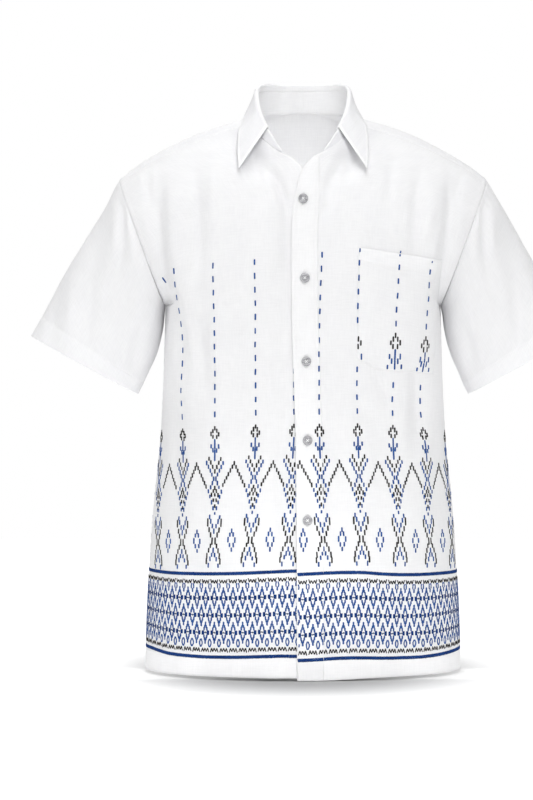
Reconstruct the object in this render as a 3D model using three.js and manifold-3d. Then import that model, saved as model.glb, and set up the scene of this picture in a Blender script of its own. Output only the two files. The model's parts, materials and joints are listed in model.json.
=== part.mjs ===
// Short-sleeved embroidered shirt, buttoned, filled out as worn and empty inside.
// Millimetres, +Z up. The front faces -Y and the wearer's left is +X.
// The origin is the middle of the neck at the height of the shoulder seams,
// where a wearer holds it up.
// Every panel is a wall on one smooth form, which short tables of sections describe.

import * as THREE from 'three';
import { mergeVertices } from 'three/addons/utils/BufferGeometryUtils.js';
import Module from 'manifold-3d';

const wasm = await Module();
wasm.setup();

// ---------- driving sizes ----------
const HEM_Z = -741;
const ARMPIT_Z = -249;
const CLOTH = 1.5; // wall of the body and the sleeves
const COLLAR_CLOTH = 1.7; // two layers with interlining
const SEAM_GAP = 0.3; // clearance between pieces
const STAND_GAP = 0.5; // the same along the neck seam, where the stand's edge spans the curve
const BAND_WIDTH = 34;
const BAND_CLOTH = 1.1;
const BAND_TOP = 0.6; // the level at which it ends under the collar
const BAND_STRAIGHT = 0.3; // above this level its far edge runs straight up
const UNDERLAP = 17; // how far the front underneath passes the middle
const UNDERLAP_DROP = 2.6; // how far it lies inside the front on top
const UNDERLAP_FADE = 24; // over which distance it comes out again, centred on the band's far edge
const UNDERLAP_RISE = 0.2; // the levels below the V over which the underlap runs out
const POCKET_CLOTH = 1.1;
const SLEEVE_LENGTH = 242;
const SLEEVE_HEM = 27;
const V_LEVEL = 0.5; // where the two fronts part below the neck
const NOTCH_LEVEL = 0.63; // where the collar starts on a front
const HEM_LEVEL = -0.945; // top of the turned hem of the body
const HEM_EXTRA = 0.6; // added thickness of a turned hem
const LEAF_END = 0.86; // where the collar leaf stops, from 0 at the back to 1 at the notch
const FOLD_RADIUS = 2.4; // roll of the collar
const BUTTON_RADIUS = 6.4;
const BUTTON_HEIGHT = 2.8;
const BUTTON_RIM = 1.5;
const BUTTON_DISH = 0.9;
const BUTTON_HOLE_RADIUS = 0.85;
const BUTTON_HOLE_PLACE = 1.5;

// ---------- tables: a row for each section ----------

/** Rows of numbers under named columns. */
function table(columns, rows) {
  const names = columns.split(' ');
  return rows.map((row) => Object.fromEntries(names.map((name, i) => [name, row[i]])));
}

// Body below the armholes: half width, depth in front of and behind the middle,
// and the length of a section's handles over its half size, 0.55 for an ellipse and more for a squarer one.
const BODY = table('z half front back round', [
  [-741, 214, 131, 118, 0.56],
  [-650, 211, 129, 116, 0.56],
  [-541, 204.5, 126, 112, 0.57],
  [-432, 194, 122, 109, 0.62],
  [-351, 189.4, 119.5, 106.4, 0.75],
  [-303, 188, 118, 105.6, 0.81],
  [-249, 187, 116, 106, 0.86],
]);

// Fronts above the armpit: where a section starts (x, y, z), how it leaves there (sweep, fall and lead),
// its place on the armhole in degrees from the bottom, and how it arrives (dx, dy, dz and tail).
const FRONT = table('rise x y z sweep fall lead arm dx dy dz tail', [
  [0, 0, -116, -249, 0, 0, 161, 0, 0, 1, 0, 99.8],
  [0.1, 0, -114, -206, 0, 0, 158, 25, 0.25, 0.96, -0.05, 76],
  [0.2, 0, -110.5, -165, 0, 0, 151, 47, 0.5, 0.86, -0.08, 56],
  [0.3, 0, -106, -128, 0, 0, 144, 67, 0.68, 0.72, -0.1, 46],
  [0.4, 0, -100, -98, 0, 0, 134, 85, 0.78, 0.6, -0.13, 42],
  [0.5, 0, -94.5, -73, 0, 0, 126, 100, 0.84, 0.48, -0.2, 46],
  [0.55, 8, -91.5, -62.5, 0.02, -0.04, 116, 107, 0.85, 0.42, -0.26, 48],
  [0.6, 18, -88, -54.5, 0.05, -0.08, 104, 114, 0.85, 0.37, -0.32, 50],
  [0.63, 28, -84.5, -49.5, 0.08, -0.11, 94, 118, 0.84, 0.34, -0.36, 52],
  [0.7, 43, -75, -39.5, 0.1, -0.16, 80, 127, 0.83, 0.26, -0.45, 56],
  [0.8, 57, -58, -26, 0.08, -0.2, 68, 139, 0.8, 0.18, -0.55, 58],
  [0.9, 66, -41, -15, 0.04, -0.22, 62, 149.5, 0.77, 0.1, -0.62, 58],
  [1, 72, -25, -6, 0, -0.25, 58, 158.4, 0.76, 0.02, -0.66, 58],
]);

// Back above the armpit, over the shoulders and down to the seams in front of them.
const BACK = table('rise x y z sweep fall lead arm dx dy dz tail', [
  [0, 0, 106, -249, 0, 0, 161, 0, 0, -1, 0, 91],
  [0.1, 0, 106.9, -200, 0, 0, 158, 25, 0.25, -0.96, -0.05, 74],
  [0.2, 0, 106.6, -152, 0, 0, 150, 47, 0.5, -0.86, -0.08, 57],
  [0.3, 0, 104, -108, 0, 0, 140, 67, 0.68, -0.72, -0.1, 48],
  [0.4, 0, 99, -66, 0, 0, 128, 86, 0.78, -0.58, -0.16, 46],
  [0.5, 0, 93, -28, 0, 0, 118, 104, 0.82, -0.44, -0.28, 50],
  [0.6, 0, 84.5, 4, 0, 0, 106, 119, 0.8, -0.32, -0.42, 56],
  [0.66, 0, 78, 20.5, 0, -0.02, 96, 128, 0.78, -0.24, -0.5, 58],
  [0.7, 24, 75.5, 19.5, -0.12, -0.1, 78, 137, 0.76, -0.18, -0.57, 60],
  [0.75, 43, 67, 16, -0.22, -0.18, 64, 147, 0.73, -0.13, -0.63, 60],
  [0.8, 56, 54, 12, -0.2, -0.22, 57, 157, 0.7, -0.09, -0.68, 60],
  [0.85, 66, 35, 8, -0.14, -0.22, 56, 167, 0.69, -0.05, -0.71, 60],
  [0.9, 72, 15, 4.5, -0.06, -0.22, 56, 178, 0.69, -0.02, -0.72, 60],
  [0.95, 73.5, -5, 0, -0.02, -0.23, 57, 190, 0.72, 0, -0.7, 59],
  [1, 72, -25, -6, 0, -0.25, 58, 201.6, 0.76, 0.02, -0.66, 58],
]);
const BACK_NECK = 0.66; // the rise at which the back reaches the neck in its middle

// The largest folds of the body, as soft troughs (depth below 0) and ridges from one point to another.
// facing is 1 for the front and -1 for the back.
const FOLDS = table('facing x0 z0 x1 z1 width depth', [
  [1, -208, -56, -176, -290, 10, -5],
  [1, -186, -66, -160, -262, 12, 3],
  [1, -150, -80, -136, -400, 17, -4],
  [1, 204, -62, 178, -284, 10, -5],
  [1, 184, -74, 161, -256, 12, 2.5],
  [1, 100, -372, 116, -500, 15, -3],
  [-1, -205, -60, -176, -286, 11, -4.5],
  [-1, 207, -58, 178, -296, 11, -5],
  [-1, -108, -130, -124, -470, 18, -4],
  [-1, 122, -110, 112, -420, 18, -4],
  [-1, 52, -300, 60, -640, 20, -3],
]);
const FOLD_FADE = 22; // folds fade out over this distance from a seam

// Edge of the front on top, measured across from the middle line.
const FRONT_EDGE = table('level at', [
  [-1, -7.2],
  [-0.6, -8],
  [-0.35, -9.6],
  [-0.2, -11.8],
  [-0.05, -14.2],
  [0.25, -14.4],
  [0.34, -11.5],
  [0.4, -8],
  [0.45, -5],
  [0.5, 0],
]);

// Sleeve rings: upper and lower edge seen from the front, and half the depth.
const SLEEVE = table('along topX topZ lowX lowZ depth', [
  [0, 249.5, -80, 187, -249, 70],
  [0.12, 264.5, -105, 188.6, -262, 69],
  [0.35, 290, -149, 191.5, -285, 66],
  [0.6, 318, -198, 199, -314, 62],
  [0.8, 343.5, -243, 211, -341, 58],
  [1, 370, -290, 224.5, -369, 54],
]);

// Collar from the back (0) to the notch in front (1): the roll line, how far the leaf turns down inside,
// and the leaf's free edge.
const COLLAR = table('q rollX rollY rollZ turn edgeX edgeY edgeZ', [
  [0, 0, 75, 60, 10, 0, 91, 10],
  [0.15, 31, 71, 60, 10, 38, 86, 11],
  [0.3, 53, 49, 57.5, 9.5, 71, 64, 13.5],
  [0.45, 62, 16, 48, 8.5, 81, 18, 7.5],
  [0.58, 62, -6, 33.5, 7, 84, -14, -1.5],
  [0.7, 59, -27, 15, 5.5, 86.5, -46, -16],
  [0.8, 53, -44, -2, 4.5, 86, -79, -46],
  [0.86, 48.5, -56, -11.5, 4, 84.5, -97, -73],
  [0.94, 39, -73.5, -30.5, 3, 84.5, -97, -73],
  [1, 28.5, -84.5, -47, 2, 84.5, -97, -73],
]);

// Corners of the pocket seen from the front, from its upper inner corner round by the outer side.
const POCKET = table('x z', [
  [73, -178.5],
  [128, -186.5],
  [184, -193.5],
  [173, -342.5],
  [96.5, -337.5],
  [71, -322.5],
]);

// Buttons down the band: where each one sits seen from the front.
const BUTTONS = table('x z', [
  [0.5, -113.5],
  [2.4, -218],
  [4.2, -327.5],
  [6, -431],
  [6, -535.5],
]);

const FINISH = {
  cloth: { color: 0xf6f6f8, roughness: 0.86, metalness: 0 },
  band: { color: 0xfafafb, roughness: 0.86, metalness: 0 },
  button: { color: 0x9a9ca3, roughness: 0.32, metalness: 0.15 },
};

// ---------- the form ----------

/** Every column of a table at any key, on a smooth curve through its rows. */
function smoothTable(rows, key) {
  const names = Object.keys(rows[0]).filter((name) => name !== key);
  const slope = (name, i) => {
    const before = rows[Math.max(i - 1, 0)];
    const after = rows[Math.min(i + 1, rows.length - 1)];
    return (after[name] - before[name]) / (after[key] - before[key]);
  };
  return (wanted) => {
    const k = Math.min(Math.max(wanted, rows[0][key]), rows[rows.length - 1][key]);
    let i = 0;
    while (i < rows.length - 2 && k > rows[i + 1][key]) i += 1;
    const step = rows[i + 1][key] - rows[i][key];
    const t = (k - rows[i][key]) / step;
    const values = {};
    for (const name of names) {
      values[name] = (2 * t ** 3 - 3 * t ** 2 + 1) * rows[i][name]
        + (t ** 3 - 2 * t ** 2 + t) * step * slope(name, i)
        + (3 * t ** 2 - 2 * t ** 3) * rows[i + 1][name]
        + (t ** 3 - t ** 2) * step * slope(name, i + 1);
    }
    return values;
  };
}

const bodyAt = smoothTable(BODY, 'z');
const frontAt = smoothTable(FRONT, 'rise');
const backAt = smoothTable(BACK, 'rise');
const sleeveAt = smoothTable(SLEEVE, 'along');
const collarAt = smoothTable(COLLAR, 'q');
const frontEdgeAt = smoothTable(FRONT_EDGE, 'level');

const vec = (x, y, z) => new THREE.Vector3(x, y, z);
const mixed = (a, b, t) => a.clone().lerp(b, t);
const moved = (point, direction, distance) => point.clone().addScaledVector(direction, distance);

// The armhole is an ellipse in a plane that leans in towards the armpit.
const armholeTop = vec(SLEEVE[0].topX, 0, SLEEVE[0].topZ);
const armholeBottom = vec(SLEEVE[0].lowX, 0, SLEEVE[0].lowZ);
const armholeCentre = mixed(armholeTop, armholeBottom, 0.5);
const armholeRise = armholeTop.clone().sub(armholeCentre);
const armholeOut = vec(armholeRise.z, 0, -armholeRise.x).normalize();

/** A point of the armhole, in degrees from its bottom, on the front (facing 1) or the back (facing -1). */
function armholePoint(facing, degrees) {
  const angle = THREE.MathUtils.degToRad(degrees);
  return moved(armholeCentre, armholeRise, -Math.cos(angle))
    .add(vec(0, -facing * SLEEVE[0].depth * Math.sin(angle), 0));
}

/**
 * One section of the wearer's left half, from the middle or the neck to the side or the armhole.
 * level runs from -1 at the hem, over 0 at the armpit, to 1 at the shoulder seam.
 */
function sectionCurve(facing, level) {
  if (level <= 0) {
    const z = ARMPIT_Z + level * (ARMPIT_Z - HEM_Z);
    const size = bodyAt(z);
    const y = facing > 0 ? -size.front : size.back;
    return new THREE.CubicBezierCurve3(
      vec(0, y, z),
      vec(size.round * size.half, y, z),
      vec(size.half, size.round * y, z),
      vec(size.half, 0, z),
    );
  }
  const row = facing > 0 ? frontAt(level) : backAt(level);
  const start = vec(row.x, row.y, row.z);
  const end = armholePoint(facing, row.arm);
  const leaving = vec(1, row.sweep, row.fall).normalize();
  const arriving = vec(row.dx, row.dy, row.dz).normalize();
  return new THREE.CubicBezierCurve3(
    start,
    moved(start, leaving, row.lead),
    moved(end, arriving, -row.tail),
    end,
  );
}

const sections = new Map();

/** The section at a level, its start and its length, kept for the next time. */
function section(facing, level) {
  const name = `${facing} ${level.toFixed(5)}`;
  if (!sections.has(name)) {
    const curve = sectionCurve(facing, level);
    curve.arcLengthDivisions = 120;
    sections.set(name, { curve, begin: curve.v0.x, length: curve.getLength() });
  }
  return sections.get(name);
}

/** How far across the section at a level reaches, measured from the middle. */
function reach(facing, level) {
  const { begin, length } = section(facing, level);
  return begin + length;
}

/** A point of the smooth form. across is measured along the section from the middle; it may be negative. */
function formPoint(facing, level, across) {
  const { curve, begin, length } = section(facing, level);
  if (begin < 0.01 && across < 0) {
    return formPoint(facing, level, -across).multiply(vec(-1, 1, 1));
  }
  const t = Math.min(Math.max((across - begin) / length, 0), 1);
  return curve.getPointAt(t);
}

/** The direction straight out of the form at a point. */
function formNormal(facing, level, across) {
  const step = 0.004;
  const low = Math.max(level - step, -1);
  const high = Math.min(level + step, 1);
  const last = reach(facing, level);
  const { begin } = section(facing, level);
  const left = Math.max(across - 1, begin < 0.01 ? -last : begin);
  const right = Math.min(across + 1, last);
  const up = formPoint(facing, high, across * reach(facing, high) / last)
    .sub(formPoint(facing, low, across * reach(facing, low) / last));
  const over = formPoint(facing, level, right).sub(formPoint(facing, level, left));
  return facing > 0 ? over.cross(up).normalize() : up.cross(over).normalize();
}

// ---------- walls ----------

/**
 * A closed wall from patches of facing points. Each patch is a grid of { face, back } points; patches share
 * the points on their common edges. The rim follows every open edge.
 */
function wallGeometry(patches) {
  const faces = [];
  const backs = [];
  const known = new Map();
  const vertex = ({ face, back }) => {
    const name = [face.x, face.y, face.z].map((value) => value.toFixed(3)).join(' ');
    if (!known.has(name)) {
      known.set(name, faces.length);
      faces.push(face);
      backs.push(back);
    }
    return known.get(name);
  };
  const triangles = [];
  for (const grid of patches) {
    const ids = grid.map((row) => row.map(vertex));
    for (let r = 0; r + 1 < ids.length; r += 1) {
      for (let c = 0; c + 1 < ids[r].length; c += 1) {
        const quad = [ids[r][c], ids[r][c + 1], ids[r + 1][c + 1], ids[r + 1][c]];
        triangles.push([quad[0], quad[1], quad[2]], [quad[0], quad[2], quad[3]]);
      }
    }
  }
  const solid = triangles.filter(([a, b, c]) => a !== b && b !== c && c !== a);
  const edges = new Map();
  for (const [a, b, c] of solid) {
    for (const [from, to] of [[a, b], [b, c], [c, a]]) {
      if (!edges.delete(`${to} ${from}`)) edges.set(`${from} ${to}`, [from, to]);
    }
  }
  const count = faces.length;
  const index = [];
  for (const [a, b, c] of solid) index.push(a, b, c, a + count, c + count, b + count);
  for (const [from, to] of edges.values()) {
    index.push(from, from + count, to + count, from, to + count, to);
  }
  const geometry = new THREE.BufferGeometry();
  const values = [...faces, ...backs].flatMap((point) => [point.x, point.y, point.z]);
  geometry.setAttribute('position', new THREE.Float32BufferAttribute(values, 3));
  geometry.setIndex(index);
  return facingOut(geometry);
}

/** Turns a closed geometry so that its faces point out. */
function facingOut(geometry) {
  const position = geometry.getAttribute('position');
  const index = geometry.getIndex().array;
  const corner = (i) => vec().fromBufferAttribute(position, index[i]);
  let volume = 0;
  for (let i = 0; i < index.length; i += 3) volume += corner(i).dot(corner(i + 1).cross(corner(i + 2)));
  if (volume < 0) {
    for (let i = 0; i < index.length; i += 3) [index[i], index[i + 1]] = [index[i + 1], index[i]];
  }
  geometry.computeVertexNormals();
  return geometry;
}

/** Values spread evenly between two ends, both included. */
function spread(from, to, steps) {
  return Array.from({ length: steps + 1 }, (_, i) => from + (to - from) * i / steps);
}

/** How far the folds move the cloth out at x and z, a distance away from the side seam or the armhole. */
function foldAt(facing, x, z, toSeam) {
  let total = 0;
  for (const fold of FOLDS) {
    if (fold.facing !== facing) continue;
    const run = new THREE.Vector2(fold.x1 - fold.x0, fold.z1 - fold.z0);
    const from = new THREE.Vector2(x - fold.x0, z - fold.z0);
    const t = from.dot(run) / run.lengthSq();
    if (t <= 0 || t >= 1) continue;
    const away = Math.abs(from.cross(run)) / run.length();
    total += fold.depth * Math.sin(Math.PI * t) * Math.exp(-((away / fold.width) ** 2));
  }
  return total * THREE.MathUtils.smoothstep(toSeam, 0, FOLD_FADE);
}

/** A wall point under the form: its face at a lift above it, and its back a thickness below that. */
function wallPoint(side, facing, level, across, lift, thickness) {
  const point = formPoint(facing, level, across);
  const out = formNormal(facing, level, across);
  const fold = foldAt(facing, side * point.x, point.z, reach(facing, level) - across);
  const face = moved(point, out, lift + fold);
  const back = moved(face, out, -thickness);
  if (level > 0 && across > reach(facing, level) - 1) {
    for (const spot of [face, back]) {
      const beyond = spot.clone().sub(armholeCentre).dot(armholeOut) + SEAM_GAP / 2;
      if (beyond > 0) spot.addScaledVector(armholeOut, -beyond);
    }
  }
  const mirror = vec(side, 1, 1);
  return { face: face.multiply(mirror), back: back.multiply(mirror) };
}

const SEAM_LEVEL = 0.9988; // half a seam gap short of the shoulder seam
const LOW_LEVELS = [-1, HEM_LEVEL, ...spread(-0.84, 0, 7)];
const FRONT_LEVELS = [
  ...LOW_LEVELS,
  0.05, 0.1, 0.16, 0.23, 0.3, 0.36, 0.41, 0.45, V_LEVEL,
  0.55, 0.6, NOTCH_LEVEL, 0.7, 0.8, 0.9, SEAM_LEVEL,
];
const BACK_LEVELS = [
  ...LOW_LEVELS,
  0.06, 0.13, 0.22, 0.32, 0.42, 0.52, 0.6, BACK_NECK,
  0.68, 0.7, 0.75, 0.8, 0.85, 0.9, 0.95, SEAM_LEVEL,
];
const SLEEVE_AROUND = 28;
const PANEL_STEPS = [0, 0.1, 0.2, 0.3, 0.4, 0.5, 0.6, 0.69, 0.77, 0.84, 0.9, 0.955, 1];

/** Thickness of a body wall, more in the turned hem. */
function bodyThickness(level) {
  return level <= HEM_LEVEL ? CLOTH + HEM_EXTRA : CLOTH;
}

/** How far the underlapping front lies inside the form, fading out past the band. */
function underlapDrop(across) {
  const from = BAND_WIDTH + UNDERLAP_FADE / 2;
  return UNDERLAP_DROP * (1 - THREE.MathUtils.smoothstep(across, from - UNDERLAP_FADE, from));
}

/** Where a front starts, measured across: the edge of the front on top, or the neckline above the V. */
function frontEdge(level) {
  return level < V_LEVEL ? frontEdgeAt(level).at : section(1, level).begin;
}

/** Where the front underneath starts, measured towards its own side. */
function underlapEdge(level) {
  if (level >= V_LEVEL) return frontEdge(level);
  return Math.min(frontEdge(level), -UNDERLAP * Math.min(1, (V_LEVEL - level) / UNDERLAP_RISE));
}

/**
 * The grid of one front. side is 1 for the wearer's left, which lies on top, and -1 for the right.
 * A lift and a thickness give a layer over the same points instead.
 */
function frontGrid(side, lift, thickness) {
  return FRONT_LEVELS.map((level) => {
    const start = side > 0 ? frontEdge(level) : underlapEdge(level);
    const end = reach(1, level) - SEAM_GAP / 2;
    return PANEL_STEPS.map((t) => {
      const across = start + (end - start) * t;
      const drop = side > 0 ? 0 : underlapDrop(across);
      return wallPoint(side, 1, level, across, lift - drop, thickness ?? bodyThickness(level));
    });
  });
}

/** The back, in one piece, from the hem over the shoulders. */
function backGeometry() {
  const patches = [1, -1].map((side) => BACK_LEVELS.map((level) => {
    const start = section(-1, level).begin;
    const end = reach(-1, level) - SEAM_GAP / 2;
    const across = PANEL_STEPS.map((t) => start + (end - start) * t);
    const row = across.map((place) => wallPoint(side, -1, level, place, 0, bodyThickness(level)));
    return side > 0 ? row : row.reverse();
  }));
  return wallGeometry(patches);
}

/** A point of a sleeve's form. turn runs from 0 at the lowest line, round the front, to 1. */
function sleevePoint(along, turn) {
  const ring = sleeveAt(along);
  const top = vec(ring.topX, 0, ring.topZ);
  const low = vec(ring.lowX, 0, ring.lowZ);
  const angle = turn * 2 * Math.PI;
  return mixed(top, low, 0.5 + 0.5 * Math.cos(angle)).add(vec(0, -ring.depth * Math.sin(angle), 0));
}

/** The direction straight out of a sleeve's form. */
function sleeveNormal(along, turn) {
  const step = 0.005;
  const over = sleevePoint(along, turn + step).sub(sleevePoint(along, turn - step));
  const down = sleevePoint(Math.min(along + step, 1), turn)
    .sub(sleevePoint(Math.max(along - step, 0), turn));
  return down.cross(over).normalize();
}

/** One sleeve: a tube with a turned hem. */
function sleeveGeometry(side) {
  const hemStart = 1 - SLEEVE_HEM / SLEEVE_LENGTH;
  const rings = [0.002, 0.1, 0.22, 0.36, 0.52, 0.7, hemStart - 0.01, hemStart, 1];
  const grid = rings.map((along, r) => spread(0, 1, SLEEVE_AROUND).map((turn) => {
    const point = sleevePoint(along, turn % 1);
    const out = sleeveNormal(along, turn);
    const hem = r >= rings.length - 2 ? HEM_EXTRA : 0;
    const face = moved(point, out, hem / 2);
    const back = moved(face, out, -CLOTH - hem);
    if (r === 0) {
      for (const spot of [face, back]) {
        const short = SEAM_GAP / 2 - spot.clone().sub(armholeCentre).dot(armholeOut);
        if (short > 0) spot.addScaledVector(armholeOut, short);
      }
    }
    const mirror = vec(side, 1, 1);
    return { face: face.multiply(mirror), back: back.multiply(mirror) };
  }));
  return wallGeometry([grid]);
}

// ---------- collar ----------

/** The neck seam of the wearer's left half, from the middle of the back to the notch in front. */
function neckSeam() {
  const back = spread(BACK_NECK, 1, 16).map((level) => formPoint(-1, level, section(-1, level).begin));
  const front = spread(1, NOTCH_LEVEL, 12).map((level) => formPoint(1, level, section(1, level).begin));
  return new THREE.CatmullRomCurve3([...back, ...front.slice(1)]);
}

const seamCurve = neckSeam();

/** The lines of the collar at q, from -1 over 0 at the back to 1. */
function collarLines(q) {
  const row = collarAt(Math.abs(q));
  const mirror = vec(q < 0 ? -1 : 1, 1, 1);
  const seam = seamCurve.getPointAt(Math.abs(q)).multiply(mirror);
  const roll = vec(row.rollX, row.rollY, row.rollZ).multiply(mirror);
  const edge = vec(row.edgeX, row.edgeY, row.edgeZ).multiply(mirror);
  const up = roll.clone().sub(seam).normalize();
  return { seam, roll, edge, up, turn: row.turn };
}

/** The level direction away from the neck at q, square to the roll line. */
function collarOut(q) {
  const before = collarLines(Math.max(q - 0.02, -1)).roll;
  const after = collarLines(Math.min(q + 0.02, 1)).roll;
  const along = after.sub(before).setZ(0);
  return vec(-along.y, along.x, 0).normalize();
}

/** The stand: a band from the neck seam up to where the leaf is sewn on, and to the roll line in front. */
function standGeometry() {
  const stations = spread(-1, 1, 40);
  const heights = spread(0, 1, 2);
  const point = (q, t) => {
    const { seam, roll, up, turn } = collarLines(q);
    const bare = THREE.MathUtils.smoothstep(Math.abs(q), LEAF_END + 0.005, LEAF_END + 0.05);
    const bottom = moved(seam, up, STAND_GAP);
    const top = moved(roll, up, -(turn + SEAM_GAP) * (1 - bare))
      .addScaledVector(collarOut(q), (COLLAR_CLOTH / 2 - FOLD_RADIUS) * (1 - bare));
    return mixed(bottom, top, t);
  };
  const grid = heights.map((t) => stations.map((q) => {
    const face = point(q, t);
    const over = point(Math.min(q + 0.01, 1), t).sub(point(Math.max(q - 0.01, -1), t));
    const out = over.cross(collarLines(q).up).negate().normalize();
    if (out.dot(collarOut(q)) < 0) out.negate();
    return { face, back: moved(face, out, -COLLAR_CLOTH) };
  }));
  return wallGeometry([grid]);
}

/** The middle line of the leaf at q: up inside, over the roll and down to its free edge. */
function leafLine(q) {
  const { roll, edge, up, turn } = collarLines(q);
  const out = collarOut(q);
  const inset = moved(roll, out, -FOLD_RADIUS);
  const line = [moved(inset, up, -turn)];
  const centre = moved(moved(inset, up, -FOLD_RADIUS), out, FOLD_RADIUS);
  for (const angle of spread(0, Math.PI, 4)) {
    line.push(moved(moved(centre, out, -FOLD_RADIUS * Math.cos(angle)), up, FOLD_RADIUS * Math.sin(angle)));
  }
  const begin = line[line.length - 1];
  const bend = moved(begin, up, -0.4 * begin.distanceTo(edge));
  const fall = new THREE.QuadraticBezierCurve3(begin, bend, edge);
  line.push(...fall.getPoints(4).slice(1));
  return line;
}

/** The leaf: a wall either side of its middle line. */
function leafGeometry() {
  const stations = spread(-LEAF_END, LEAF_END, 30);
  const lines = stations.map(leafLine);
  const grid = lines.map((line, s) => line.map((point, i) => {
    const along = line[Math.min(i + 1, line.length - 1)].clone().sub(line[Math.max(i - 1, 0)]);
    const over = lines[Math.min(s + 1, lines.length - 1)][i].clone().sub(lines[Math.max(s - 1, 0)][i]);
    const out = over.cross(along).normalize();
    return { face: moved(point, out, COLLAR_CLOTH / 2), back: moved(point, out, -COLLAR_CLOTH / 2) };
  }));
  return wallGeometry([grid]);
}

// ---------- what lies on the front ----------

/** The band down the edge of the front on top. */
function bandGeometry() {
  const grid = FRONT_LEVELS.filter((level) => level <= BAND_TOP).map((level) => {
    const start = frontEdge(level);
    const end = frontEdge(Math.min(level, BAND_STRAIGHT)) + BAND_WIDTH;
    return spread(start, end, 3).map((across) => {
      return wallPoint(1, 1, level, across, SEAM_GAP + BAND_CLOTH, BAND_CLOTH);
    });
  });
  return wallGeometry([grid]);
}

/** The level and the distance across at which the front's form has a given x and z. */
function placeOnFront(x, z) {
  let level = z < ARMPIT_Z ? (z - ARMPIT_Z) / (ARMPIT_Z - HEM_Z) : 0.002 * (z - ARMPIT_Z);
  let across = x;
  for (let i = 0; i < 40; i += 1) {
    const here = formPoint(1, level, across);
    const step = 0.002;
    const slope = (formPoint(1, level + step, across).z - here.z) / step;
    level = Math.min(level + 0.8 * (z - here.z) / slope, 0.98);
    across += 0.9 * (x - here.x);
  }
  return { level, across };
}

/** A closed geometry as a solid that can be cut. */
function toSolid(geometry) {
  const bare = geometry.clone();
  bare.deleteAttribute('normal');
  bare.deleteAttribute('uv');
  const merged = mergeVertices(bare, 1e-4);
  const mesh = new wasm.Mesh({
    numProp: 3,
    vertProperties: new Float32Array(merged.getAttribute('position').array),
    triVerts: new Uint32Array(merged.getIndex().array),
  });
  return new wasm.Manifold(mesh);
}

/** A solid that was cut, as a geometry. */
function toGeometry(solid) {
  const mesh = solid.getMesh();
  const geometry = new THREE.BufferGeometry();
  geometry.setAttribute('position', new THREE.Float32BufferAttribute(mesh.vertProperties, 3));
  geometry.setIndex([...mesh.triVerts]);
  return facingOut(geometry);
}

/** The chest pocket: a layer over the front's own points, cut to the pocket's outline. */
function pocketGeometry() {
  const layer = wallGeometry([frontGrid(1, SEAM_GAP + POCKET_CLOTH, POCKET_CLOTH)]);
  const outline = new THREE.Shape(POCKET.map(({ x, z }) => new THREE.Vector2(x, z)));
  const cutter = new THREE.ExtrudeGeometry(outline, { depth: 200, bevelEnabled: false });
  cutter.rotateX(Math.PI / 2);
  return toGeometry(toSolid(layer).intersect(toSolid(stripped(cutter))));
}

/** A four-hole button with a raised rim, standing on z = 0. */
function buttonGeometry() {
  const inner = BUTTON_RADIUS - BUTTON_RIM;
  const floor = BUTTON_HEIGHT - BUTTON_DISH;
  const profile = [
    [0, 0],
    [BUTTON_RADIUS - 1.2, 0],
    [BUTTON_RADIUS, 0.9],
    [BUTTON_RADIUS, BUTTON_HEIGHT - 0.7],
    [BUTTON_RADIUS - 0.6, BUTTON_HEIGHT],
    [inner, BUTTON_HEIGHT],
    [inner - 0.8, floor],
    [0, floor],
  ];
  const lathe = new THREE.LatheGeometry(profile.map(([x, y]) => new THREE.Vector2(x, y)), 18);
  lathe.rotateX(Math.PI / 2);
  let solid = toSolid(facingOut(mergeVertices(stripped(lathe), 1e-4)));
  for (const [x, y] of [[1, 1], [-1, 1], [-1, -1], [1, -1]]) {
    const hole = new THREE.CylinderGeometry(BUTTON_HOLE_RADIUS, BUTTON_HOLE_RADIUS, 3 * BUTTON_HEIGHT, 6);
    hole.rotateX(Math.PI / 2);
    hole.translate(x * BUTTON_HOLE_PLACE, y * BUTTON_HOLE_PLACE, 0);
    solid = solid.subtract(toSolid(hole));
  }
  return toGeometry(solid);
}

/** A geometry with nothing but its positions. */
function stripped(geometry) {
  const bare = geometry.clone();
  bare.deleteAttribute('normal');
  bare.deleteAttribute('uv');
  return bare;
}

// ---------- the parts ----------

/** A named mesh with its own material. */
function part(name, geometry, finish) {
  const mesh = new THREE.Mesh(geometry, new THREE.MeshStandardMaterial({ ...finish }));
  mesh.name = name;
  return mesh;
}

/** A button seated on the band. */
function seatedButton(number, { x, z }) {
  const { level, across } = placeOnFront(x, z);
  const out = formNormal(1, level, across);
  const seat = moved(formPoint(1, level, across), out, 2 * SEAM_GAP + BAND_CLOTH);
  const button = part(`button_${number}`, buttonGeometry(), FINISH.button);
  button.position.copy(seat);
  button.quaternion.setFromUnitVectors(vec(0, 0, 1), out);
  return button;
}

const shirt = new THREE.Group();

const body = new THREE.Group();
body.add(part('front_left', wallGeometry([frontGrid(1, 0)]), FINISH.cloth));
body.add(part('front_right', wallGeometry([frontGrid(-1, 0)]), FINISH.cloth));
body.add(part('back', backGeometry(), FINISH.cloth));
shirt.add(body);

const sleeves = new THREE.Group();
sleeves.add(part('sleeve_left', sleeveGeometry(1), FINISH.cloth));
sleeves.add(part('sleeve_right', sleeveGeometry(-1), FINISH.cloth));
shirt.add(sleeves);

const collar = new THREE.Group();
collar.add(part('collar_stand', standGeometry(), FINISH.cloth));
collar.add(part('collar_leaf', leafGeometry(), FINISH.band));
shirt.add(collar);

const fastening = new THREE.Group();
fastening.add(part('front_band', bandGeometry(), FINISH.band));
BUTTONS.forEach((place, i) => fastening.add(seatedButton(i + 1, place)));
shirt.add(fastening);

shirt.add(part('pocket', pocketGeometry(), FINISH.cloth));

export default shirt;
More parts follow.
